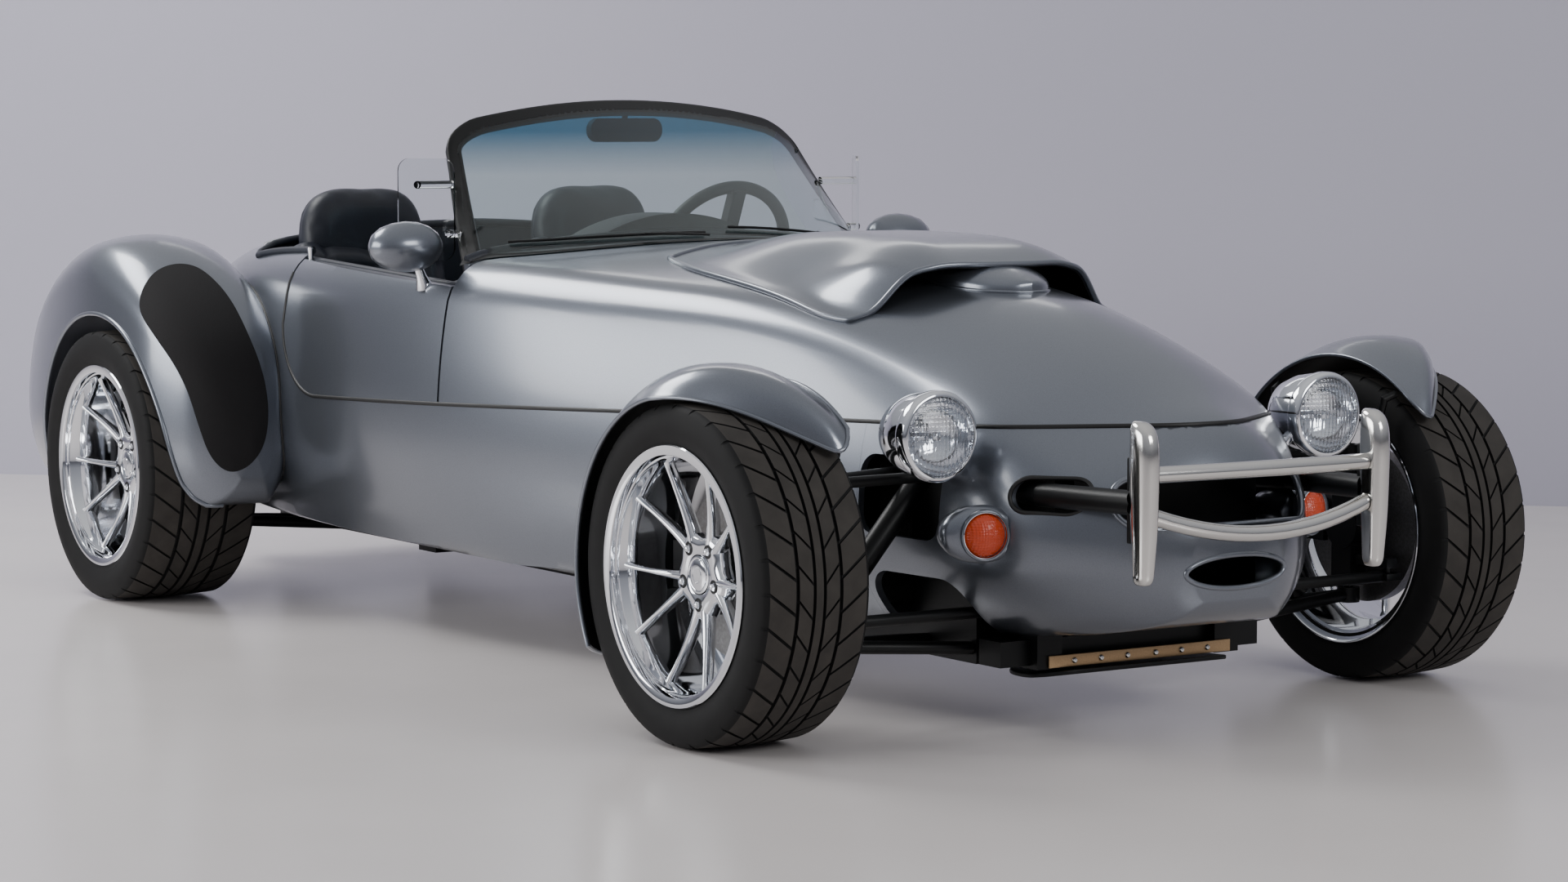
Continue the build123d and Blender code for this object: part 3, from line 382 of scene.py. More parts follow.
finishes = [
    (metallicPaint, ["body_shell", "nose_panel", "bonnet", "scoop", "scoop_bulge", "boot_lid", "indicator_pods"]
        + each(["door", "rear_wing", "mudguard", "mirror"])),
    (powderCoat, ["chassis", "bumper_tubes", "rear_carriers", "front_wishbones", "rear_wishbones", "front_dampers",
        "rack_housing", "tie_rods", "rear_drive", "steering_column", "skid_plate", "windscreen_frame", "radiator"]
        + each(["knuckle"])),
    (screenGlass, ["windscreen_glass"]),
    (clearAcrylic, ["side_deflectors"]),
    (lampGlass, ["headlamp_lenses"]),
    (mouldedPlastic, ["dashboard", "tunnel", "inside_mirror", "steering_wheel"]),
    (navyHide, ["seats"]),
    (chromePlate, ["headlamp_shells"] + each(["wheel"], corners)),
    (polishedStainless, ["bumper_horns", "bumper_bars", "exhausts"]),
    (amberLens, ["indicator_lenses"]),
    (redLens, ["tail_lamps"]),
    (castIron, ["engine"] + each(["disc"], corners)),
    (tyreRubber, each(["tyre"], corners)),
]
for finish, names in finishes:
    for name in names:
        nodes[name].data.materials.clear()
        nodes[name].data.materials.append(finish.material)
print("finishes on", sum(len(names) for _, names in finishes), "nodes")

# body stations, mm: x, half width, belt, shoulder y, shoulder z, shoulder radius, crown, floor z, floor half width
bodyShape = {
    "rows": [
        (1916.5, 112, 345, 104, 376, 40, 425, 272, 80),
        (1894.5, 168, 352, 157, 420, 56, 516, 244, 118),
        (1844.5, 232, 362, 216, 458, 82, 590, 222, 160),
        (1754.5, 312, 372, 286, 492, 112, 642, 203, 200),
        (1636.5, 376, 380, 345, 548, 136, 703, 190, 250),
        (1404.5, 410, 385, 355, 638, 118, 797, 180, 300),
        (963.5, 450, 400, 405, 732, 96, 862, 180, 400),
        (444.5, 550, 425, 505, 762, 110, 893, 188, 500),
        (-65.5, 648, 450, 620, 764, 130, 908, 205, 600),
        (-845.5, 665, 480, 640, 765, 135, 908, 215, 612),
        (-1345.5, 612, 485, 585, 745, 150, 902, 235, 555),
        (-1629.5, 540, 480, 508, 690, 160, 838, 262, 480),
        (-1809.5, 450, 470, 424, 620, 150, 740, 300, 390),
        (-1909.5, 350, 460, 330, 552, 110, 645, 345, 292),
        (-1944.5, 245, 455, 232, 508, 72, 578, 380, 195),
    ],
    "steps": 230, "around": 144, "cap": 9.0, "innerCap": -8.0, "wall": 14.0, "shut": 3.5,
    "seam": (1829.5, 601.0, 0.0297),  # bonnet seam: x, its height there, slope
}
# rear wings: the same columns, with the wing's own centre line first
wingShape = {
    "rows": [
        (746, -837.5, 58, 402, 52, 452, 30, 484, 322, 30),
        (754, -862.5, 114, 420, 104, 540, 62, 600, 270, 62),
        (768, -944.5, 168, 440, 153, 625, 92, 712, 246, 104),
        (777, -1119.5, 190, 460, 174, 730, 104, 832, 245, 150),
        (782, -1309.5, 193, 470, 176, 787, 106, 892, 245, 165),
        (776, -1549.5, 186, 465, 170, 750, 102, 850, 258, 158),
        (762, -1769.5, 165, 455, 150, 648, 90, 735, 290, 135),
        (745, -1929.5, 115, 440, 104, 530, 62, 590, 330, 90),
        (738, -1977.5, 62, 430, 56, 473, 33, 505, 365, 45),
    ],
    "steps": 120, "around": 112, "cap": 8.0,
    "archX": -1264.5, "archZ": 332.0, "archR": 372.0, "frontHug": 26.0, "innerWall": 656.0,
}


def splineThrough(knots, values):
    # natural cubic through rows of values
    knots, values = np.array(knots, float), np.array(values, float)
    n, gap = len(knots), np.diff(knots)
    matrix, right = np.eye(n), np.zeros_like(values)
    for i in range(1, n - 1):
        matrix[i, i - 1 : i + 2] = gap[i - 1], 2 * (gap[i - 1] + gap[i]), gap[i]
        right[i] = 6 * ((values[i + 1] - values[i]) / gap[i] - (values[i] - values[i - 1]) / gap[i - 1])
    bend = np.linalg.solve(matrix, right)

    def valuesAt(s):
        i = int(np.clip(np.searchsorted(knots, s) - 1, 0, n - 2))
        a, b, h = knots[i + 1] - s, s - knots[i], gap[i]
        bent = (bend[i] * a**3 + bend[i + 1] * b**3) / (6 * h)
        return bent + (values[i] / h - bend[i] * h / 6) * a + (values[i + 1] / h - bend[i + 1] * h / 6) * b

    return valuesAt


def chordSpline(rows, axes):
    rows = np.array(rows, float)
    steps = np.linalg.norm(np.diff(rows[:, axes], axis=0), axis=1)
    knots = np.concatenate([[0], np.cumsum(steps)])
    return splineThrough(knots, rows), knots[-1]


bodyRow, bodyEnd = chordSpline(bodyShape["rows"], [0, 1, 6])


class Section:
    # one cross-section: crown, shoulder, side and sill arcs, then the flat floor
    def __init__(self, row, inset=0.0):
        self.x, half, belt, shoulderY, shoulderZ, shoulderR, crown, floorZ, floorY = row
        rise, tuck = shoulderZ - belt, half - shoulderY
        sideR = (tuck**2 + rise**2) / (2 * tuck)
        lean = asin(min(rise / sideR, 1))
        midY, midZ = shoulderY - shoulderR * cos(lean), shoulderZ - shoulderR * sin(lean)
        head = crown - midZ
        crownR = (midY**2 + head**2 - shoulderR**2) / (2 * (head - shoulderR))
        turn = atan2(midZ - crown + crownR, midY)
        low, under = belt - floorZ, half - floorY
        lowR = (under**2 + low**2) / (2 * under)
        dip = asin((low - inset) / (lowR - inset))
        self.arcs = [
            (0.0, crown - crownR, crownR - inset, pi / 2, turn),
            (midY, midZ, shoulderR - inset, turn, lean),
            (half - sideR, belt, sideR - inset, lean, 0.0),
            (half - lowR, belt, lowR - inset, 0.0, -dip),
        ]
        self.lengths = [r * (a - b) for _, _, r, a, b in self.arcs]
        self.flank = sum(self.lengths)
        self.floorHalf = half - lowR + (lowR - inset) * cos(dip)
        self.floorZ = floorZ + inset
        self.total = self.flank + self.floorHalf
        self.crown = crown - inset

    def point(self, d):
        for (y, z, r, a, b), length in zip(self.arcs, self.lengths):
            if d <= length:
                angle = a - (a - b) * d / length
                return y + r * cos(angle), z + r * sin(angle)
            d -= length
        return max(self.floorHalf - d, 0.0), self.floorZ

    def depthTo(self, height):
        # distance down the section to a height
        done = 0.0
        for (y, z, r, a, b), length in zip(self.arcs, self.lengths):
            if height >= z + r * sin(b):
                angle = asin(max(-1, min(1, (height - z) / r)))
                return done + max(0.0, (a - angle)) * r
            done += length
        return done


def bodySection(s, inset=0.0):
    return Section(bodyRow(s), inset)


stationS = np.linspace(0, bodyEnd, 900)
stationX = np.array([bodyRow(s)[0] for s in stationS])


def bodyAtX(x, inset=0.0):
    return bodySection(np.interp(-x, -stationX, stationS), inset)


def bodyTop(x, y):
    # height of the body's skin above a point in plan
    cut = bodyAtX(x)
    low, high = 0.0, cut.flank
    for _ in range(30):
        middle = (low + high) / 2
        if cut.point(middle)[0] < abs(y):
            low = middle
        else:
            high = middle
    return cut.point(low)[1]


def bodySide(x, z):
    cut = bodyAtX(x)
    return cut.point(cut.depthTo(z))[0]


def lofted(sectionAt, end, shape, centreAt=lambda s: 0.0):
    # closed skin through the sections, with shallow domes over both ends
    steps, around, cap = shape["steps"], shape["around"], shape["cap"]
    domes = 4
    bm = bmesh.new()
    bmesh.ops.create_grid(bm, x_segments=steps + 2 * domes, y_segments=around, size=0.5)
    rings = {}
    for v in bm.verts:
        row = round((v.co.x + 0.5) * (steps + 2 * domes))
        around01 = v.co.y + 0.5
        if row not in rings:
            s = min(max((row - domes) / steps, 0), 1) * end
            rings[row] = (sectionAt(s), centreAt(s))
        cut, centre = rings[row]
        side = -1 if around01 < 0.5 else 1
        y, z = cut.point(cut.total * (1 - abs(2 * around01 - 1)))
        over = max(domes - row, row - domes - steps, 0) / domes
        shrink = sqrt(max(1 - over**2, 0))
        middle = (cut.crown + cut.floorZ) / 2
        bulge = cap * (1 - shrink) * (1 if row < domes else -1)
        v.co = Vector((cut.x + bulge, centre + side * y * shrink, middle + (z - middle) * shrink)) * mm
    bmesh.ops.remove_doubles(bm, verts=bm.verts, dist=2e-5)
    bmesh.ops.dissolve_degenerate(bm, edges=bm.edges, dist=1e-6)
    bmesh.ops.recalc_face_normals(bm, faces=bm.faces)
    return bm


def seamHeight(x):
    start, height, slope = bodyShape["seam"]
    return height + slope * (x - start)


outerMesh = meshFrom(lofted(bodySection, bodyEnd, bodyShape))
innerShape = {**bodyShape, "cap": bodyShape["innerCap"]}
innerMesh = meshFrom(lofted(lambda s: bodySection(s, bodyShape["wall"]), bodyEnd, innerShape))
print("body skin:", len(outerMesh.polygons), "faces")

# shut lines in plan and side view, mm
panels = {
    "doorFront": -76.5, "doorRear": -855.5, "doorIn": 565.0, "doorTop": (806.0, 843.0),
    "screenX": -660.5, "screenR": 800.0, "noseSplit": 1254.5,
    "firewall": -85.5, "bulkhead": -1179.5,
    "lid": (-1719.5, -1319.5, 330.0, 60.0),  # rear x, front x, half width, corner radius
    "ahead": 2104.5, "behind": -2204.5, "above": 1500,  # clear of the car, for cutters
}
shut, ahead, above = bodyShape["shut"], panels["ahead"], panels["above"]


def scaled(points):
    return [(a * mm, b * mm) for a, b in points]


def bonnetRegion(grow):
    front = panels["doorFront"] - grow
    outline = [
        (ahead, seamHeight(ahead) - grow), (front, seamHeight(front) - grow), (front, above), (ahead, above)
    ]
    return meshFrom(prism(scaled(outline), "y", -0.9, 0.9))


def screenDrum(grow):
    bm = bmesh.new()
    radius = (panels["screenR"] - grow) * mm
    bmesh.ops.create_cone(
        bm, cap_ends=True, cap_tris=False, segments=160, radius1=radius, radius2=radius, depth=1.6
    )
    return meshFrom(moveTo(bm, (panels["screenX"] * mm, 0, 1.0)))


def doorOutline(grow, topFront, topRear):
    front, rear = panels["doorFront"] + grow, panels["doorRear"] - grow
    knee = panels["doorRear"] + 224
    points = [(knee, seamHeight(knee) - grow), (front, seamHeight(front) - grow), (front, topFront), (rear, topRear)]
    # the rear edge drops nearly straight and then sweeps forward to the sill
    start, middle, end = (rear - 4, 690.0), (panels["doorRear"] + 66 - 0.7 * grow, 578.0 - 0.7 * grow), points[0]
    ax, ay = middle[0] - start[0], middle[1] - start[1]
    bx, by = end[0] - start[0], end[1] - start[1]
    cross = 2 * (ax * by - ay * bx)
    centre = (
        start[0] + (by * (ax**2 + ay**2) - ay * (bx**2 + by**2)) / cross,
        start[1] + (ax * (bx**2 + by**2) - bx * (ax**2 + ay**2)) / cross,
    )
    radius = hypot(start[0] - centre[0], start[1] - centre[1])
    first = atan2(start[1] - centre[1], start[0] - centre[0])
    last = atan2(end[1] - centre[1], end[0] - centre[0])
    if first < last - pi:
        first += 2 * pi
    if first > last + pi:
        first -= 2 * pi
    sweep = [first + (last - first) * i / 24 for i in range(24)]
    return points + [(centre[0] + radius * cos(a), centre[1] + radius * sin(a)) for a in sweep]


def doorRegion(side, grow, topFront, topRear):
    inner = (panels["doorIn"] - max(grow, 0)) * mm
    low, high = sorted((side * inner, side * 0.9))
    return meshFrom(prism(scaled(doorOutline(grow, topFront, topRear)), "y", low, high))


def lidRegion(grow):
    rear, front, half, corner = panels["lid"]
    size = (front - rear + 2 * grow, 2 * (half + grow))
    outline = roundedOutline(((rear + front) / 2, 0), size, corner + grow)
    return meshFrom(prism(scaled(outline), "z", 0.5, 1.3))


def slab(x0, x1, z0=0.1, z1=1.3, half=0.9):
    return meshFrom(boxBetween((x0 * mm, -half, z0), (x1 * mm, half, z1)))


bonnetMesh = combine(outerMesh.copy(), [
    ("INTERSECT", bonnetRegion(-shut)), ("DIFFERENCE", screenDrum(-shut)), ("DIFFERENCE", innerMesh.copy())
])
finishMesh(bonnetMesh, "bonnet_skin", "bonnet_body", metallicPaint, 40, ["bonnet"])

mouth = {
    # centre, size and corner radius of each opening
    "grille": ((0, 460.0), (464, 96), 47.9), "tubeSlot": ((1734.5, 472.0), (128, 66), 32.9),
    "upperArm": ((1384.5, 446), (250, 156), 40), "lowerArm": ((1409.5, 200), (280, 190), 60),
    "lower": (118, 30, 328.0), "depth": (1.7345, 2.1345), "reach": 0.7,  # the lower mouth: half axes and height
}
ovalTurns = [2 * pi * i / 64 for i in range(64)]
halfY, halfZ, middleZ = mouth["lower"]
oval = [(halfY * cos(turn), middleZ + halfZ * sin(turn)) for turn in ovalTurns]
ends = [roundedOutline(*mouth["grille"], 16), oval]
flanks = [roundedOutline(*mouth[key], steps) for key, steps in (("tubeSlot", 12), ("upperArm", 8), ("lowerArm", 8))]
noseMesh = combine(outerMesh.copy(), [
    ("INTERSECT", slab(panels["noseSplit"] + 0.5, ahead)),
    ("DIFFERENCE", bonnetRegion(shut)),
    ("DIFFERENCE", innerMesh.copy()),
    *[("DIFFERENCE", meshFrom(prism(scaled(outline), "x", *mouth["depth"]))) for outline in ends],
    *[("DIFFERENCE", meshFrom(prism(scaled(outline), "y", -mouth["reach"], mouth["reach"]))) for outline in flanks],
])
finishMesh(noseMesh, "nose_skin", "chassis_body", metallicPaint, 40, ["nose_panel"])

for word, side in sides:
    doorMesh = combine(outerMesh.copy(), [("INTERSECT", doorRegion(side, -shut, *panels["doorTop"]))])
    finishMesh(doorMesh, "door_skin_" + word, f"door_{word}_body", metallicPaint, 40, ["door_" + word])

lidMesh = combine(outerMesh.copy(), [("INTERSECT", lidRegion(-shut)), ("DIFFERENCE", innerMesh.copy())])
finishMesh(lidMesh, "boot_lid_skin", "boot_lid_body", metallicPaint, 40, ["boot_lid"])

frontBay = combine(innerMesh.copy(), [("INTERSECT", slab(panels["firewall"], ahead))])
rearBay = combine(innerMesh.copy(), [("INTERSECT", slab(panels["behind"], panels["bulkhead"] - 20))])
cockpitLow = [panels["bulkhead"] * mm, -panels["doorIn"] * mm, 0.236]
cockpitHigh = [(panels["firewall"] - 20) * mm, panels["doorIn"] * mm, 1.3]
tubMesh = combine(outerMesh.copy(), [
    ("DIFFERENCE", slab(panels["noseSplit"], ahead)),
    ("DIFFERENCE", bonnetRegion(shut)),
    ("DIFFERENCE", doorRegion(-1, shut, above, above)),
    ("DIFFERENCE", doorRegion(1, shut, above, above)),
    ("DIFFERENCE", lidRegion(shut)),
    ("DIFFERENCE", frontBay),
    ("DIFFERENCE", rearBay),
    ("DIFFERENCE", meshFrom(boxBetween(cockpitLow, cockpitHigh))),
])
tub = finishMesh(tubMesh, "tub_skin", "chassis_body", metallicPaint, 40, ["body_shell"])
print("panels cut:", [len(m.polygons) for m in (bonnetMesh, noseMesh, doorMesh, lidMesh, tubMesh)])

# rear wings, open below round their wheels
wingRow, wingEnd = chordSpline(wingShape["rows"], [1, 2, 7])
wingMesh = meshFrom(lofted(lambda s: Section(wingRow(s)[1:]), wingEnd, wingShape, lambda s: -wingRow(s)[0]))
arch = []
for i in range(65):  # the front half of the arch hugs the tyre more closely
    angle = pi * i / 64
    reach = wingShape["archR"] - (wingShape["frontHug"] * cos(angle) ** 2 if angle < pi / 2 else 0)
    arch.append((wingShape["archX"] + reach * cos(angle), wingShape["archZ"] + reach * sin(angle)))
archFoot = [(-wingShape["archR"], 0), (420, 0), (430, 232), (402, 240), (376, 254), (357, 274), (348, 302)]
arch += [(wingShape["archX"] + a, b) for a, b in archFoot]
wingMesh = combine(wingMesh, [
    ("DIFFERENCE", meshFrom(prism(scaled(arch), "y", -1.2, -wingShape["innerWall"] * mm))),
    ("DIFFERENCE", outerMesh.copy()),
])
finishMesh(wingMesh, "wing_skin_right", "chassis_body", metallicPaint, 40, ["rear_wing_right"])
finishPiece(otherSide(wingMesh), "wing_skin_left", "chassis_body", metallicPaint, 40, ["rear_wing_left"])
print("wings:", len(wingMesh.polygons), "faces")

# bonnet scoop: lip in front, long sides down on the bonnet, blended tail
scoop = {
    "rows": [  # x, half width, crown, mm
        (1174.5, 285, 884), (1074.5, 336, 921), (924.5, 352, 938), (644.5, 345, 939),
        (404.5, 315, 925), (352.5, 300, 919), (254.5, 262, 909),
    ],
    "lipX": 1174.5, "lipSweep": 80.0, "tailX": 254.5, "tailSweep": 98.0,
    "along": 72, "across": 80, "wall": 9.0, "bead": 6.5,
    "lipRise": [  # share of the half width, share of the height
        (0, 1), (0.3, 0.995), (0.53, 0.94), (0.63, 0.86), (0.72, 0.74), (0.8, 0.5), (0.88, 0.2), (0.94, 0.06), (1, 0)
    ],
    # the last four place the black sheet of painted shade behind the mouth
    "clear": 3.0, "mouthShadeX": 1030.0, "mouthShadeWidth": 620.0, "mouthShadeShare": 0.16, "mouthShadeGap": 14.0,
}
lipRise = splineThrough([row[0] for row in scoop["lipRise"]], [[row[1]] for row in scoop["lipRise"]])
scoopRow = splineThrough([-row[0] for row in scoop["rows"]], scoop["rows"])


def scoopPoint(along, across):
    r = abs(across)
    lip = scoop["lipX"] - scoop["lipSweep"] * r**3
    tail = scoop["tailX"] + scoop["tailSweep"] * r**2
    x = lip + (tail - lip) * along
    _, half, crown = scoopRow(-x)
    y = across * half
    foot = bodyTop(x, half) + scoop["clear"]
    fall = min(max((r - 0.3) / 0.74, 0), 1)
    bell = (0.5 + 0.5 * cos(pi * fall)) * (1 - 0.05 * r * r)
    blend = min(along / 0.4, 1)
    blend = blend * blend * (3 - 2 * blend)  # from the mouth's own curve to a soft bell
    rise = float(lipRise(r)[0]) * (1 - blend) + bell * blend
    settle = 1 - max(0, (along - 0.55) / 0.45) ** 2  # the tail sinks into the bonnet
    z = foot + (crown - foot) * rise
    ground = bodyTop(x, y) + scoop["clear"]
    return Vector((x, y, ground + max(z - ground, 0) * settle)) * mm


def gridSheet(along, across, pointAt):
    bm = bmesh.new()
    bmesh.ops.create_grid(bm, x_segments=along, y_segments=across, size=0.5)
    for v in bm.verts:
        v.co = pointAt(v.co.x + 0.5, v.co.y + 0.5)
    bmesh.ops.remove_doubles(bm, verts=bm.verts, dist=1e-5)
    bmesh.ops.recalc_face_normals(bm, faces=bm.faces)
    return bm


def walled(bm, thickness, lining=None):
    # gives a sheet its thickness; faces that pass the lining test take the second finish
    bm.normal_update()
    made = bmesh.ops.extrude_face_region(bm, geom=bm.faces[:], use_keep_orig=True)
    for v in [g for g in made["geom"] if isinstance(g, bmesh.types.BMVert)]:
        v.co -= thickness * v.normal
    bmesh.ops.recalc_face_normals(bm, faces=bm.faces)
    if lining:
        bm.normal_update()
        for face in bm.faces:
            face.material_index = 1 if lining(face) else 0
    return bm


def faceUp(bm, up=Vector((0, 0, 1))):
    bm.normal_update()
    if sum(face.normal.dot(up) * face.calc_area() for face in bm.faces) < 0:
        bmesh.ops.reverse_faces(bm, faces=bm.faces)
    return bm


sheet = faceUp(gridSheet(scoop["along"], scoop["across"], lambda a, b: scoopPoint(a, 2 * b - 1)))
# the underside faces take black powder coat: painted shade for the dark inside of the mouth
walled(sheet, scoop["wall"] * mm, lambda face: face.normal.z < -0.05)
scoopSkin = finishPiece(sheet, "scoop_skin", "bonnet_body", metallicPaint, 50, ["scoop"])
scoopSkin.data.materials.append(powderCoat.material)
lipLine = [scoopPoint(0, -1 + 2 * i / 80) for i in range(81)]
rightLine, leftLine = [[scoopPoint(i / 60, side) for i in range(61)] for side in (-1, 1)]
tailLine = [scoopPoint(1, -1 + 2 * i / 60) for i in range(61)]
rimLine = rightLine[::-1] + lipLine[1:-1] + leftLine + tailLine[::-1][1:-1]
scoopBead = tubeMesh(rimLine, scoop["bead"] * mm, True, 3)
finishPiece(bmFrom(scoopBead), "scoop_bead", "bonnet_body", metallicPaint, 60)

pod = {"rear": 944.5, "front": 1268.5, "half": 120.0, "height": 46.0, "nose": 0.3, "bead": 4.0}


def podPoint(along, across):
    # flat-topped bullet that lies on the bonnet in the scoop's mouth
    x = pod["rear"] + (pod["front"] - pod["rear"]) * along
    past = max(0, (along - pod["nose"]) / (1 - pod["nose"]))
    half = max(pod["half"] * sqrt(max(1 - past**2.4, 0)), 0.01)
    angle = pi * across
    y = -half * cos(angle)
    lift = pod["height"] * (1 - 0.55 * past**2) * sin(angle) ** 0.55 if 0 < across < 1 else 0.0
    return Vector((x, y, bodyTop(x, y) + 1 + lift)) * mm


bulge = faceUp(gridSheet(60, 36, podPoint))
finishPiece(bulge, "scoop_pod", "bonnet_body", metallicPaint, 60, ["scoop_bulge"])
rim = [podPoint(i / 50, 0) for i in range(51)] + [podPoint(i / 50, 1) for i in range(50, -1, -1)]
podBead = tubeMesh(rim, pod["bead"] * mm, False, 3)
finishPiece(bmFrom(podBead), "scoop_pod_bead", "bonnet_body", metallicPaint, 60)


def mouthShadePoint(along, across):
    # black sheet behind the mouth, from the bonnet to just under the scoop's skin: painted shade that darkens the
    # inside of the mouth
    x, y = scoop["mouthShadeX"], (along - 0.5) * scoop["mouthShadeWidth"]
    ground = bodyTop(x, y)
    top = scoopPoint(scoop["mouthShadeShare"], 2 * along - 1).z / mm - scoop["mouthShadeGap"]
    return Vector((x, y, ground + (top - ground) * across)) * mm


# a black sheet stands in for the shade inside the scoop's mouth: painted shade
mouthShade = faceUp(gridSheet(24, 4, mouthShadePoint), Vector((1, 0, 0)))
finishPiece(mouthShade, "scoop_mouth_shade", "bonnet_body", powderCoat, 60)
print("scoop and pod made")

# front mudguards: a crowned band round each wheel, longer on the inside
guard = {
    "hub": (1404.5, -822.0, 326.5), "crown": 397.0, "edge": 336.0, "half": 128.0, "roll": 105.0, "innerLift": 24.0,
    "startOut": 100.0, "startIn": 37.5, "startPower": 0.66, "end": 209.0, "wall": 5.0, "bead": 4.5,
    "tipTurn": 14.0, "tipFrom": 0.6, "tipPower": 2.2, "crownPower": 2.5, "rollPower": 2.3,  # angles in degrees
}


def guardPoint(along, across):
    v = 2 * across - 1  # -1 at the outer edge, 1 at the inner
    start = guard["startOut"] + (guard["startIn"] - guard["startOut"]) * across ** guard["startPower"]
    tip = max(0, (v - guard["tipFrom"]) / (1 - guard["tipFrom"]))
    start += guard["tipTurn"] * tip ** guard["tipPower"]  # rounded inner tip
    angle = radians(start + (guard["end"] - start) * along)
    run = min(1, radians(guard["end"] - start) * along * guard["crown"] / guard["roll"])  # front edge rolls down
    edge = guard["edge"] + guard["innerLift"] * max(0, v) ** 2
    arched = (1 - abs(v) ** guard["crownPower"]) * (1 - (1 - run) ** guard["rollPower"])
    radius = edge + (guard["crown"] - edge) * arched
    x, y, z = guard["hub"]
    return Vector((x + radius * cos(angle), y + v * guard["half"], z + radius * sin(angle))) * mm


hubSpot = Vector(guard["hub"]) * mm


def towardsHub(face):
    out = face.calc_center_median() - hubSpot
    out.y = 0
    return face.normal.dot(out) < 0


band = gridSheet(90, 40, guardPoint)
band.normal_update()
if sum((f.calc_center_median() - hubSpot).dot(f.normal) for f in band.faces) < 0:
    bmesh.ops.reverse_faces(band, faces=band.faces)
walled(band, guard["wall"] * mm, towardsHub)
rimLine = [guardPoint(i / 80, 0) for i in range(81)] + [guardPoint(1, i / 30) for i in range(1, 30)]
rimLine += [guardPoint(i / 80, 1) for i in range(80, -1, -1)] + [guardPoint(0, i / 30) for i in range(29, 0, -1)]
beadMesh = tubeMesh(rimLine, guard["bead"] * mm, True, 3)
guardMesh = meshFrom(band)
for word, side in sides:
    body = f"steer_{word}_body"
    skin, bead = onSide(guardMesh, side), onSide(beadMesh, side)
    piece = finishPiece(skin, "mudguard_skin_" + word, body, metallicPaint, 50, ["mudguard_" + word])
    piece.data.materials.append(powderCoat.material)
    finishPiece(bead, "mudguard_bead_" + word, body, metallicPaint, 60)
print("mudguards made")

# windscreen: ruled from a tight arc on the scuttle to a nearly straight top rail
screen = {
    "foot": (820.0, -363.5, 620.0, 575.0), "head": (1230.0, -2150.5, 1795.0, 440.0),  # z, centre x, radius, half width
    "top": 1226.0, "frameWidth": 28.0, "frameDepth": 20.0, "frameRound": 5.0, "glass": 6.0, "lap": 6.0,
    "brow": (402, 1183), "corner": (462, 1147), "shoulder": (487, 1100), "postRun": (78, 285),  # y, z
    "straight": 0.75, "glassFoot": (129.5, 240, 545), "sunk": 8.0,  # foot of the glass: x, sweep, half width
    "cowlR": 797, "cowlWidth": 44, "cowlTurn": 46, "cowlLift": 2.0,
}


def screenPoint(y, z):
    h = (z - screen["foot"][0]) / (screen["head"][0] - screen["foot"][0])
    low, high = -1.0, 1.0
    for _ in range(36):
        w = (low + high) / 2
        spots = []
        for _, centre, radius, half in (screen["foot"], screen["head"]):
            angle = w * asin(half / radius)
            spots.append((centre + radius * cos(angle), radius * sin(angle)))
        across = spots[0][1] + (spots[1][1] - spots[0][1]) * h
        low, high = (w, high) if across < y else (low, w)
    return Vector((spots[0][0] + (spots[1][0] - spots[0][0]) * h, y, z)) * mm


def screenTop(t, margin):
    # outline from the middle of the top rail (0) round the corner to the post (1)
    straight, (browY, browZ) = screen["straight"], screen["brow"]
    (cornerY, cornerZ), (postY, postZ) = screen["corner"], screen["shoulder"]
    brow = (browY - 0.5 * margin, browZ - margin)
    if abs(t) < straight:
        k = t / straight
        return brow[0] * k, screen["top"] - margin - (screen["top"] - browZ) * k * k
    k, side = (abs(t) - straight) / (1 - straight), (1 if t > 0 else -1)
    post, corner = (postY - margin, postZ), (cornerY - 0.8 * margin, cornerZ - 0.6 * margin)
    pull = [2 * c - (a + b) / 2 for a, b, c in zip(brow, post, corner)]
    y, z = [(1 - k) ** 2 * a + 2 * k * (1 - k) * p + k * k * b for a, p, b in zip(brow, pull, post)]
    return side * y, z


def screenPost(drop, margin):
    # down the post from its shoulder (0) to the foot (1)
    (y, z), (out, down) = screen["shoulder"], screen["postRun"]
    return y - margin + out * drop, z - down * drop


def framePoint(along, across):
    margin = screen["frameWidth"] * across
    if along < 0.3:
        y, z = screenPost(1 - along / 0.3, margin)
        y = -y
    elif along > 0.7:
        y, z = screenPost((along - 0.7) / 0.3, margin)
    else:
        y, z = screenTop((along - 0.5) / 0.2, margin)
    return screenPoint(y, z)


screenOut = Vector((1, 0, 0.4))
strip = walled(faceUp(gridSheet(170, 4, framePoint), screenOut), screen["frameDepth"] * mm)
strip.normal_update()
bevelled(strip, steepEdges(strip), screen["frameRound"] * mm, 3)
finishPiece(strip, "screen_surround", "chassis_body", powderCoat, 45, ["windscreen_frame"])


def glassFoot(y):
    # height of the skin where the glass stands on it
    x, sweep, half = screen["glassFoot"]
    return bodyTop(x - sweep * (y / half) ** 2, y)


def glassPoint(along, across):
    t = 2 * along - 1
    topY, topZ = screenTop(t, screen["frameWidth"] - screen["lap"])
    footY = t * screen["glassFoot"][2]
    footZ = glassFoot(footY) - screen["sunk"]
    return screenPoint(footY + (topY - footY) * across, footZ + (topZ - footZ) * across)


pane = walled(faceUp(gridSheet(64, 40, glassPoint), screenOut), screen["glass"] * mm)
finishPiece(pane, "screen_pane", "chassis_body", screenGlass, 45, ["windscreen_glass"])


def cowlPoint(along, across):
    # black strip between bonnet and glass
    angle = (2 * along - 1) * radians(screen["cowlTurn"])
    radius = screen["cowlR"] - screen["cowlWidth"] * across
    x, y = panels["screenX"] + radius * cos(angle), radius * sin(angle)
    return Vector((x, y, bodyTop(x, y) + screen["cowlLift"])) * mm


finishPiece(faceUp(gridSheet(80, 6, cowlPoint)), "cowl_strip", "chassis_body", sealRubber, 45)
print("windscreen made")

